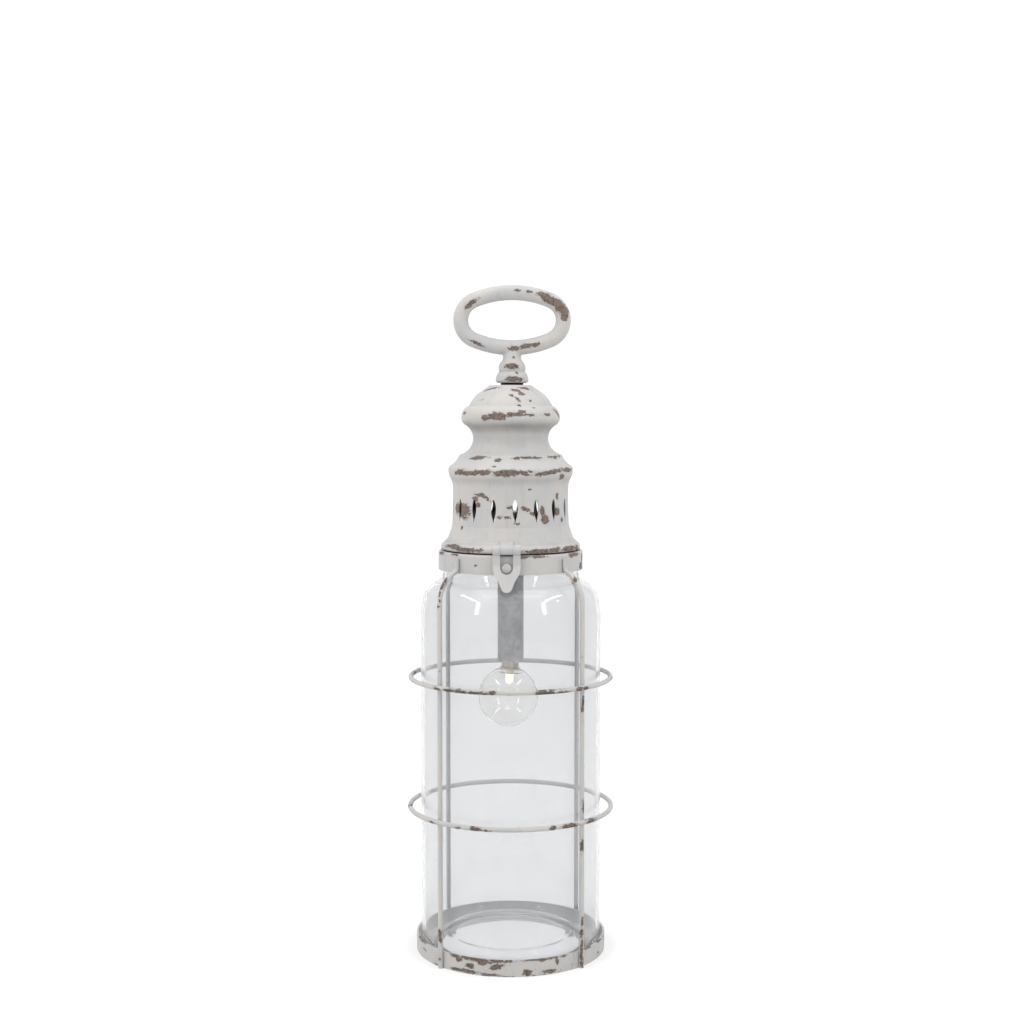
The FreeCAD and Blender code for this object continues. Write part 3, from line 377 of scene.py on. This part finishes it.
def clear_glass(name, tint, haze, skin, seed):
    """Thin clear glass: it bends light little and has a polished skin, a faint haze, ripples and smears."""
    tree = Tree(name)
    slow = tree.noise(34 * MM, 2.0, 0.5, stretch=(1, 1, 0.6), seed=seed)
    smear = tree.noise(11 * MM, 4.0, 0.65, stretch=(1, 1, 0.4), seed=seed + 3)
    normal = tree.bump(slow, GLASS_RIPPLE, 0.6)
    tone = tree.mix(tree.step(smear, 0.45, 0.8), tint, darker(tint, 0.97))
    glass = tree.shader(
        Base_Color=tone, Roughness=0.0, Normal=normal, IOR=GLASS_BEND, Transmission_Weight=1.0 - haze,
        Coat_Weight=skin, Coat_Roughness=0.0, Coat_IOR=GLASS_SKIN_IOR, Coat_Normal=normal,
    )
    through = tree.nodes.new("ShaderNodeBsdfTransparent")
    tree.fill(through, Color=GLASS_SHADOW)
    rays = tree.nodes.new("ShaderNodeLightPath")
    both = tree.nodes.new("ShaderNodeMixShader")
    for socket, value in zip(both.inputs, (rays.outputs["Is Shadow Ray"], glass, through.outputs[0])):
        tree.feed(socket, value)
    return tree.close(both.outputs[0])


def worn_metal(name, colour, dark, metallic, roughness, seed, grain=0.6, stretch=(1, 1, 1), marks=0.4):
    """Bare or plated metal: cloudy tone, fine grain and a few darker marks."""
    tree = Tree(name)
    cloud = tree.noise(7 * MM, 3.0, 0.6, seed=seed)
    fine = tree.noise(grain * MM, 2.0, 0.6, stretch=stretch, seed=seed + 2)
    mark = tree.noise(2.2 * MM, 3.0, 0.6, seed=seed + 4)
    tone = tree.mix(tree.step(cloud, 0.3, 0.72), dark, colour)
    tone = tree.mix(tree.step(mark, 0.66, 0.74, 0.0, marks), tone, dark)
    spread = tree.add(tree.step(cloud, 0.3, 0.7, -0.06, 0.06), tree.step(fine, 0.3, 0.7, -0.04, 0.04))
    surface = tree.shader(
        Base_Color=tone, Roughness=tree.add(spread, roughness), Metallic=metallic,
        Normal=tree.bump(fine, 0.05 * MM, 0.5),
    )
    return tree.close(surface)


def moulded(name, colour, shade, roughness, seed):
    """Moulded plastic or rubber: even tone with a fine texture and slight dust."""
    tree = Tree(name)
    cloud = tree.noise(5 * MM, 2.0, 0.5, seed=seed)
    fine = tree.noise(0.35 * MM, 2.0, 0.5, seed=seed + 2)
    surface = tree.shader(
        Base_Color=tree.mix(tree.step(cloud, 0.35, 0.7), colour, shade),
        Roughness=tree.step(cloud, 0.3, 0.7, roughness - 0.05, roughness + 0.05),
        Normal=tree.bump(fine, 0.03 * MM, 0.5),
    )
    return tree.close(surface)


CELL_FOIL = lin(176, 120, 62)
CELL_BODY = lin(52, 54, 58)
CELL_SCUFF = lin(30, 31, 33)
FOIL_SHARE = 0.24


def cell_wrap(name, node):
    """A cell's shrink wrap: a dark body with a foil band at its top end."""
    low, high = (corner.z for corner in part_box(node))
    tree = Tree(name)
    edge = high - (high - low) * FOIL_SHARE
    band = tree.step(tree.axis("Z"), edge - 0.1 * MM, edge + 0.1 * MM)
    fine = tree.noise(0.8 * MM, 2.0, 0.5, seed=4)
    tone = tree.mix(band, CELL_BODY, CELL_FOIL)
    surface = tree.shader(
        Base_Color=tree.mix(tree.step(fine, 0.5, 0.8, 0.0, 0.3), tone, CELL_SCUFF),
        Roughness=tree.step(fine, 0.3, 0.7, 0.25, 0.4),
        Normal=tree.bump(fine, 0.02 * MM, 0.4),
        Metallic=0.35,
    )
    return tree.close(surface)


GLOW_MIDDLE = (1.0, 0.82, 0.55, 1)
GLOW_END = (1.0, 0.50, 0.18, 1)
GLOW_HEIGHT_SHARE = 0.55


def lit_lens(name, node):
    """The lit lamp: nearly white at its middle and amber towards its ends."""
    low, high = (corner.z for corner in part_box(node))
    tree = Tree(name)
    middle = low + (high - low) * GLOW_HEIGHT_SHARE
    fade = tree.step(tree.gap(tree.axis("Z"), middle), 0.0, (high - low) * 0.5)
    mottle = tree.noise(1.1 * MM, 2.0, 0.5, seed=2)
    strength = tree.add(tree.step(fade, 0.0, 0.9, 4.5, 1.0), tree.times(tree.add(mottle, -0.5), 0.4))
    surface = tree.shader(
        Base_Color=lin(248, 232, 200),
        Roughness=tree.step(mottle, 0.3, 0.7, 0.2, 0.35),
        Emission_Color=tree.mix(fade, GLOW_MIDDLE, GLOW_END),
        Emission_Strength=strength,
    )
    return tree.close(surface)


# ---------------------------------------------------------------- where the paint is worn

# Rows on turned nodes: azimuth, height, half width, half height, tilt, in degrees and mm.

LID_FRONT = [
    # dome
    (-50, 475, 6.0, 1.4, 24), (34, 475.5, 5.2, 1.5, -10), (9, 474, 3.8, 2.0, -20),
    (19, 471, 2.4, 2.0, -50), (1, 469.5, 2.0, 0.8, -30), (10, 466.5, 2.3, 0.8, -50),
    (-48, 466, 1.6, 0.8, 0), (12, 461, 1.4, 0.8, -30), (29, 465, 1.2, 1.0, 0), (30, 459.5, 1.4, 1.0, 0),
    # bead
    (-16, 452.8, 9.0, 3.0, 0), (-31, 451.5, 2.6, 2.2, 0), (-1, 453.5, 3.0, 1.8, 0),
    (9, 454.0, 5.0, 1.4, 0), (13, 456, 3.0, 1.8, 0), (22, 453.5, 4.0, 1.0, 0), (-70, 455, 2.6, 1.2, 0),
    (72, 454.5, 5.0, 1.4, -40),
    # step
    (-38, 418.5, 9.5, 1.8, 0), (-14, 416.8, 3.0, 1.7, 10), (7, 418, 2.2, 1.2, 0),
    (19, 418.6, 6.8, 1.0, 0), (28, 418.6, 4.0, 1.2, 0), (46, 418.6, 2.2, 0.8, 0),
    (57, 418.6, 4.0, 0.9, 8), (-16, 411.5, 1.5, 0.8, 0),
    # ridge
    (-53, 407.5, 5.0, 1.6, 0), (-41, 406, 9.8, 1.8, 0), (-25, 407, 6.4, 1.8, 0),
    (-5, 406.5, 11.0, 2.8, 0), (10, 406.5, 5.2, 1.5, -10), (18, 407.5, 1.8, 0.9, -30),
    (27, 405.5, 3.8, 1.6, 10), (41, 407, 14.0, 1.5, 8), (64, 408, 9.0, 1.8, 0),
    (55, 402.5, 3.6, 2.5, 0),
    # drum
    (-54, 375, 9.0, 5.2, 0), (-66, 375.5, 5.0, 4.3, 0), (-32, 388, 5.4, 1.6, 0),
    (-37, 385, 3.0, 2.8, 0), (-34, 380, 2.3, 2.2, 0), (-24, 385.5, 3.6, 1.4, -35),
    (0, 378.5, 2.2, 1.4, 0), (14, 377, 3.4, 1.6, -20), (22, 373, 3.0, 1.2, -10),
    (32, 375, 2.1, 4.0, 10), (35, 368, 3.9, 4.0, 15), (-11, 370.5, 2.0, 1.1, 0), (-4, 370, 2.8, 1.1, 0),
    (6, 365.5, 1.8, 0.9, 0), (19, 393, 1.2, 0.8, 0), (52, 387, 1.4, 2.2, 0), (52, 374, 3.4, 3.2, 0),
    (60, 367, 1.7, 1.8, 0), (-51, 368.5, 3.4, 1.5, 0), (-55, 360.5, 1.7, 1.8, 0),
    # rim
    (-54, 345.6, 13.0, 1.9, -4), (-40, 343.8, 13.0, 1.5, -2), (-28, 343.6, 5.0, 1.2, 0),
    (23, 343.2, 13.5, 1.9, 2), (38, 343.8, 7.0, 1.7, 0), (55, 343.8, 11.0, 2.0, 3),
    (70, 343.5, 4.4, 2.5, 0),
]

LID_REAR = [
    (160, 474, 5.0, 1.8, 10), (196, 468, 4.5, 1.6, -30), (150, 463, 2.5, 0.9, 20),
    (172, 455.2, 9.0, 2.2, 0), (214, 456.0, 8.0, 2.4, 0), (128, 455.4, 6.0, 1.6, 0),
    (186, 419.6, 9.0, 1.7, 0), (144, 419.4, 6.0, 1.5, 0), (168, 404.6, 13.0, 2.3, 0),
    (208, 405.6, 9.0, 1.8, 4), (126, 405.2, 8.0, 1.8, 0), (182, 388.0, 5.0, 2.4, 10),
    (137, 374.0, 5.0, 6.0, -14), (222, 377.0, 4.0, 5.2, 8), (196, 371.0, 6.0, 1.4, 0),
    (160, 344.6, 13.0, 1.6, 0), (205, 344.4, 11.0, 1.5, 0), (118, 345.2, 9.0, 1.8, 0),
]

COLLAR_FRONT = [
    (-72, 338.8, 6.0, 1.2, 0), (-50, 339.2, 4.0, 0.9, 0), (10, 339.2, 4.0, 1.2, 0),
    (22, 339.2, 7.0, 1.2, 0), (60, 338.6, 8.0, 1.8, 0), (78, 335.0, 2.6, 4.0, 0),
    (-28, 331.5, 1.0, 0.8, 0), (74, 327.5, 4.0, 3.2, 0),
]

COLLAR_REAR = [
    (158, 339.0, 6.0, 1.2, 0), (202, 338.4, 5.0, 1.4, 0), (128, 338.6, 6.0, 1.6, 0),
    (232, 336.0, 3.0, 3.4, 0), (174, 326.0, 3.0, 0.9, 0),
]

BASE_FRONT = [
    (-35, 13.0, 3.8, 1.4, 0), (-32, 10.6, 2.5, 1.7, 0), (-26, 12.8, 6.9, 1.5, -4),
    (-18, 12.4, 8.7, 1.9, -5), (-9, 13.0, 7.3, 1.1, 0), (-1, 13.2, 4.7, 1.1, 0),
    (-17, 10.4, 3.3, 1.6, 0), (-25, 7.0, 3.4, 2.4, 0), (-8, 8.4, 5.2, 2.1, 10), (-11, 7.0, 2.0, 1.0, 0),
    (-26, 2.4, 6.9, 1.5, -4), (-33, 2.0, 5.0, 1.0, 0), (-13, 1.4, 7.4, 0.8, 0), (9, 3.4, 3.7, 2.7, 0),
    (9, 5.4, 2.1, 1.1, 0), (18, 12.9, 4.2, 1.3, 0), (24, 13.4, 4.6, 0.8, 0), (28, 9.4, 1.4, 2.6, 0),
    (23, 2.6, 6.2, 1.7, 0), (32, 13.0, 1.8, 0.7, 0), (-64, 8.0, 2.6, 0.9, -8), (66, 4.0, 2.0, 1.2, 0),
    (80, 10.4, 1.8, 2.2, 0),
]

BASE_REAR = [
    (132, 12.0, 6.0, 1.7, 0), (168, 11.6, 9.0, 1.9, 0), (205, 12.2, 7.0, 1.4, 0),
    (150, 4.6, 4.6, 1.6, 0), (190, 3.4, 5.0, 2.0, 0), (236, 7.0, 3.0, 2.4, 10), (112, 3.0, 5.0, 1.4, 0),
]

UPPER_HOOP_WORN = [
    (-44, 231.8, 3.0, 1.1, 0), (-36, 232.0, 5.2, 1.9, 0), (-28, 231.8, 5.2, 1.8, 0),
    (-21, 231.6, 5.6, 1.8, 0), (-15, 231.6, 5.0, 1.6, 0), (-10, 232.0, 3.0, 2.0, 0),
    (-1, 231.0, 1.2, 0.8, 0), (17, 231.6, 6.0, 2.3, 0), (22, 231.6, 4.0, 2.0, 0),
    (28, 231.0, 5.8, 1.3, 0), (40, 232.0, 3.2, 1.6, 0), (45, 232.4, 2.4, 1.8, 0),
    (80, 232.0, 4.0, 1.2, 0), (262, 231.8, 5.0, 1.2, 0),
]

LOWER_HOOP_WORN = [
    (-48, 121.4, 2.4, 1.1, 0), (-30, 120.8, 2.4, 1.0, 0), (-19, 121.6, 5.4, 1.8, 0),
    (-13, 121.0, 2.4, 1.1, 0), (23, 122.0, 3.0, 2.0, 0), (34, 122.0, 7.4, 1.9, 0),
    (49, 121.8, 6.0, 1.8, 0), (-84, 121.0, 6.0, 2.0, 0), (236, 121.4, 5.0, 1.1, 0),
]

# Rows on rods and handle: the same with a place across, in mm, for the azimuth.

LEFT_ROD_WORN = [
    (-53.6, 319.5, 1.6, 3.2, 0), (-56.4, 314.5, 1.5, 3.0, 0), (-57.8, 309.5, 1.0, 2.4, 0),
    (-57.4, 303.5, 1.0, 1.6, 0), (-58.9, 299.0, 0.9, 1.4, 0), (-57.8, 246.0, 1.0, 0.9, 0),
    (-58.4, 29.5, 1.6, 3.2, 0), (-57.6, 24.0, 1.0, 1.8, 0), (-58.6, 8.0, 0.9, 1.0, 0),
]

RIGHT_ROD_WORN = [
    (52.0, 320.0, 1.2, 2.2, 0), (58.6, 221.0, 1.3, 4.4, 0), (58.0, 214.5, 0.9, 2.4, 0),
    (58.9, 135.0, 0.8, 3.8, 0), (58.0, 101.5, 1.3, 4.2, 0), (58.6, 39.5, 0.9, 3.2, 0),
    (58.0, 30.0, 1.4, 3.8, 0), (58.4, 20.5, 1.0, 4.4, 0), (57.8, 13.0, 1.4, 6.0, 0),
    (58.2, 4.0, 1.1, 3.2, 0),
]

HANDLE_WORN = [
    (31.0, 550.3, 9.0, 3.6, -33), (40.5, 544.0, 7.0, 4.4, -50), (45.5, 537.5, 3.4, 5.8, -20),
    (24.5, 553.8, 3.2, 2.0, 0), (-33.0, 546.0, 6.0, 1.8, 38), (5.0, 557.0, 2.2, 0.8, 0),
    (15.5, 556.0, 2.0, 0.9, 0), (-28.0, 512.8, 6.0, 1.1, -25), (15.0, 511.2, 9.0, 1.6, 6),
    (3.0, 509.0, 5.0, 1.6, 0), (2.6, 501.5, 1.0, 1.2, 0), (0.4, 494.2, 8.0, 2.4, 0),
    (5.4, 488.4, 1.2, 1.2, 0), (2.6, 483.4, 10.5, 1.8, 0),
]

HANDLE_REAR = [
    (-24.0, 553.5, 9.5, 2.8, 30), (30.5, 547.0, 5.0, 2.6, -30), (-6.0, 557.5, 5.0, 1.2, 0),
    (20.0, 515.0, 6.0, 1.8, 18), (-14.0, 511.8, 5.5, 1.5, -8), (1.5, 496.5, 6.0, 2.2, 0),
    (-4.0, 486.2, 8.0, 1.4, 0), (-37.0, 538.0, 3.2, 5.0, 0),
]

# Broken bands: height and half width in mm, share worn.
LID_BANDS = ((453.5, 1.2, 0.10), (419.0, 0.9, 0.15), (406.0, 1.2, 0.2), (343.8, 0.9, 0.3))
BASE_BANDS = ((13.4, 0.5, 0.3), (0.4, 0.5, 0.3))

# Painted shade under the bead, under the ridge and next to the collar: height, half width, share.
LID_PAINTED_SHADE = (
    (443.5, 7.5, 0.62), (434.0, 9.0, 0.10), (400.0, 5.0, 0.18), (341.6, 1.6, 0.8), (348.5, 2.5, 0.2),
)


# ---------------------------------------------------------------- materials on the CAD nodes

def give(material, *names):
    """Puts one material on every slot of the named CAD nodes."""
    for name in names:
        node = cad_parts[name]
        if not node.material_slots:
            node.data.materials.append(material)
        for slot in node.material_slots:
            slot.material = material


def middle_height(name):
    """The height of a node's middle in mm."""
    return sum(corner.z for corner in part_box(name)) / 2 / MM


def dress_lid():
    """Paint on the lid, its handle and the latches."""
    lid = around("lid_shell", LID_FRONT + LID_REAR)
    # The lid's paint carries painted shade under the bead, under the ridge and next to the collar.
    give(chipped_paint("paint_lid", lid, LID_BANDS, specks=0.55, seed=0.3, painted_shade=LID_PAINTED_SHADE), "lid_shell")
    handle = across("handle", HANDLE_WORN) + across("handle", HANDLE_REAR, side=1)
    give(chipped_paint("paint_handle", handle, (), specks=0.35, seed=1.9), "handle")
    latch = chipped_paint("paint_latch", (), (), specks=0.25, seed=23.0, paint=PAINT_LATCH)
    give(latch, "front_hasp", "rear_hasp", "front_hinge_leaf", "rear_hinge_leaf", "front_stud", "rear_stud")


def dress_cage():
    """Paint on the collar, the base, the rods and the hoops."""
    collar = around("collar_band", COLLAR_FRONT + COLLAR_REAR)
    give(chipped_paint("paint_collar", collar, (), specks=0.5, seed=3.1), "collar_band")
    base = around("base_ring", BASE_FRONT) + around("base_ring", BASE_REAR, BASE_REAR_PATCH_DEPTH)
    give(chipped_paint("paint_base", base, BASE_BANDS, specks=1.3, seed=4.7, rust=0.3), "base_ring")

    front_bands = ((9.0, 2.0, 0.3), (middle_height("lower_hoop") - 20, 2.0, 0.1))
    rear_bands = ((middle_height("upper_hoop") - 6, 4.0, 0.2), (12.0, 5.0, 0.5), (312.0, 6.0, 0.3))
    rods = {
        "rod_front_left": (LEFT_ROD_WORN, front_bands),
        "rod_front_right": (RIGHT_ROD_WORN, front_bands),
        "rod_rear_left": ((), rear_bands),
        "rod_rear_right": ((), rear_bands),
    }
    for index, (name, (rows, bands)) in enumerate(rods.items()):
        worn = across(name, rows)
        seed = 6.0 + index * 2.3
        give(chipped_paint(f"paint_{name}", worn, bands, specks=0.9, seed=seed, rust=0.6), name)

    hoops = {"upper_hoop": UPPER_HOOP_WORN, "lower_hoop": LOWER_HOOP_WORN}
    for index, (name, rows) in enumerate(hoops.items()):
        worn = around(name, rows)
        seed = 17.0 + index * 3.1
        paint = chipped_paint(f"paint_{name}", worn, (), specks=0.5, seed=seed, ragged=0.85, rust=0.6)
        give(paint, name)


def dress_glass():
    """Glass for the jar and the bulb."""
    jar = clear_glass("glass_jar_wall", (0.81, 0.815, 0.823, 1), haze=0.04, skin=0.6, seed=1.0)
    give(jar, "glass_jar")
    bulb = clear_glass("glass_bulb_wall", (0.985, 0.98, 0.97, 1), haze=0.0, skin=1.0, seed=5.0)
    give(bulb, "bulb_globe")


def dress_metal():
    """Bare and plated metal on pins, screws, plate, spring, tube and caps."""
    pins = worn_metal(
        "steel_pins", lin(196, 194, 190), lin(140, 136, 130), metallic=0.9, roughness=0.42, seed=2.0,
    )
    give(pins, "front_hinge_pin", "rear_hinge_pin", "handle_screw", "plate_screws", "tube_lock_ring")
    plate = worn_metal(
        "steel_plate", lin(176, 176, 175), lin(132, 130, 127), metallic=0.8, roughness=0.5, seed=3.0,
    )
    give(plate, "lamp_plate")
    spring = worn_metal(
        "steel_spring", lin(190, 186, 176), lin(120, 112, 100), metallic=1.0, roughness=0.3, seed=4.0,
    )
    give(spring, "contact_spring")
    tube = worn_metal(
        "tube_skin", lin(154, 154, 155), lin(122, 122, 124), metallic=0.2, roughness=0.55, seed=5.0,
        grain=0.5, stretch=(1, 1, 0.2), marks=0.5,
    )
    give(tube, "battery_tube")
    tube_cap = worn_metal(
        "cap_steel", lin(226, 226, 226), lin(190, 189, 188), metallic=0.9, roughness=0.26, seed=5.5,
    )
    give(tube_cap, "tube_cap")
    bulb_cap = worn_metal(
        "cap_nickel", lin(206, 200, 190), lin(150, 140, 126), metallic=0.85, roughness=0.36, seed=6.0,
    )
    give(bulb_cap, "bulb_cap")


def dress_inside():
    """Rubber, plastic, cells and the lamp."""
    rubber = moulded("gasket_rubber", lin(22, 21, 20), lin(34, 32, 30), roughness=0.8, seed=7.0)
    give(rubber, "collar_gasket", "handle_washer")
    white = moulded("white_parts", lin(226, 223, 214), lin(214, 210, 200), roughness=0.45, seed=8.0)
    give(white, "battery_sleeve", "lamp_holder", "led_mount")
    black = moulded("black_parts", lin(30, 30, 31), lin(44, 44, 45), roughness=0.5, seed=9.0)
    give(black, "switch_housing", "switch_slider")
    for place in ("lower", "upper"):
        give(cell_wrap(f"cell_{place}_wrap", f"battery_{place}"), f"battery_{place}")
    give(lit_lens("led_lit", "led"), "led")


# ---------------------------------------------------------------- stage, light and camera

# Places and sizes of the stage, the lights and the camera are in metres, and the camera's turns in radians.

WHITE = (1.0, 1.0, 1.0, 1.0)
PAPER = (0.5, 0.5, 0.5, 1.0)

# The paper's own glow under the lantern and far behind it, and how far back it starts and stops to rise.
PAPER_GLOW = (0.36, 0.48)
PAPER_GLOW_REACH = (0.2, 1.8)

# The air is brighter on the upper left in front than on the side away from it.
AIR_BRIGHT_SIDE = (-0.62, -0.55, 0.56)
AIR_DIM = 0.80
AIR_BRIGHT = 1.10

TOP_RADIANCE = 1.6
STREAK_RADIANCE = 10.0
FILL_RADIANCE = 15.0

CAMERA_PLACE = (-0.00722, -1.35467, 0.45772)
CAMERA_DIP = 0.0634
CAMERA_TURN = -0.0062
CAMERA_LENS = 56.59
CAMERA_SENSOR = 36


def paper():
    """Matt grey paper that glows just enough to look white."""
    tree = Tree("stage_white")
    cloud = tree.noise(0.6, 2.0, 0.5)
    surface = tree.shader(
        Base_Color=tree.mix(tree.step(cloud, 0.3, 0.7), PAPER, darker(PAPER, 0.985)),
        Roughness=0.9,
        Emission_Color=WHITE,
        Emission_Strength=tree.step(tree.axis("Y"), *PAPER_GLOW_REACH, *PAPER_GLOW),
    )
    return tree.close(surface)


def sweep():
    """A floor that curves up into a backdrop far behind the lantern."""
    half_width = 5.0
    front = -5.0
    level_end = 1.0
    back = 3.2
    bend = 1.2
    bend_steps = 12
    top = 4.0
    profile = [(front, 0.0), (level_end, 0.0), (back - bend, 0.0)]
    for step in range(1, bend_steps + 1):
        angle = math.pi / 2 * step / bend_steps
        profile.append((back - bend + bend * math.sin(angle), bend - bend * math.cos(angle)))
    profile.append((back, top))

    build = bmesh.new()
    rows = [[build.verts.new((x, y, z)) for x in (-half_width, half_width)] for y, z in profile]
    for low, high in zip(rows, rows[1:]):
        build.faces.new((low[0], low[1], high[1], high[0]))
    for face in build.faces:
        face.smooth = True
    mesh = bpy.data.meshes.new("studio_sweep")
    build.to_mesh(mesh)
    build.free()
    floor = bpy.data.objects.new("studio_sweep", mesh)
    bpy.context.scene.collection.objects.link(floor)
    floor.data.materials.append(paper())


def air():
    """White light from all round, in strength by direction."""
    world = bpy.data.worlds.new("studio_air")
    world.use_nodes = True
    nodes = world.node_tree.nodes
    links = world.node_tree.links
    toward = nodes.new("ShaderNodeVectorMath")
    toward.operation = "DOT_PRODUCT"
    toward.inputs[1].default_value = AIR_BRIGHT_SIDE
    links.new(nodes.new("ShaderNodeTexCoord").outputs["Generated"], toward.inputs[0])
    level = nodes.new("ShaderNodeMapRange")
    for name, value in (("From Min", -1.0), ("From Max", 1.0), ("To Min", AIR_DIM), ("To Max", AIR_BRIGHT)):
        level.inputs[name].default_value = value
    links.new(toward.outputs["Value"], level.inputs["Value"])
    background = nodes["Background"]
    background.inputs["Color"].default_value = WHITE
    links.new(level.outputs[0], background.inputs["Strength"])
    bpy.context.scene.world = world


def area_light(name, place, aim, width, height, radiance):
    """A rectangle of even light that faces the point it aims at."""
    data = bpy.data.lights.new(name, "AREA")
    data.shape = "RECTANGLE"
    data.size = width
    data.size_y = height
    data.energy = radiance * math.pi * width * height
    light = bpy.data.objects.new(name, data)
    bpy.context.scene.collection.objects.link(light)
    light.location = place
    light.rotation_euler = (Vector(aim) - Vector(place)).to_track_quat("-Z", "Y").to_euler()
    return light


def lights():
    """A bank overhead, and on each side an upright and a rail that show as streaks in the glass."""
    area_light("top_bank", (0, -0.1, 1.9), (0, 0, 0.3), 1.6, 1.0, TOP_RADIANCE)
    for side in (-1, 1):
        # place, the point it faces, width, height
        bars = {
            f"upright_{side + 2}": ((side * 0.9, -0.93, 0.83), (0, 0, 0.83), 0.10, 0.66),
            f"rail_{side + 2}": ((side * 0.9, -0.19, 1.42), (0, 0, 0.25), 0.92, 0.10),
        }
        for name, bar in bars.items():
            area_light(name, *bar, STREAK_RADIANCE).visible_diffuse = False
            area_light(f"{name}_fill", *bar, FILL_RADIANCE).visible_glossy = False


def camera():
    """A camera in front, level with the lid and dipped towards the jar."""
    data = bpy.data.cameras.new("studio_camera")
    data.sensor_width = CAMERA_SENSOR
    data.lens = CAMERA_LENS
    view = bpy.data.objects.new("studio_camera", data)
    bpy.context.scene.collection.objects.link(view)
    view.location = CAMERA_PLACE
    view.rotation_euler = (math.pi / 2 - CAMERA_DIP, 0, CAMERA_TURN)
    bpy.context.scene.camera = view
    bpy.context.scene.view_settings.view_transform = "Standard"


dress_lid()
dress_cage()
dress_glass()
dress_metal()
dress_inside()
sweep()
air()
lights()
camera()
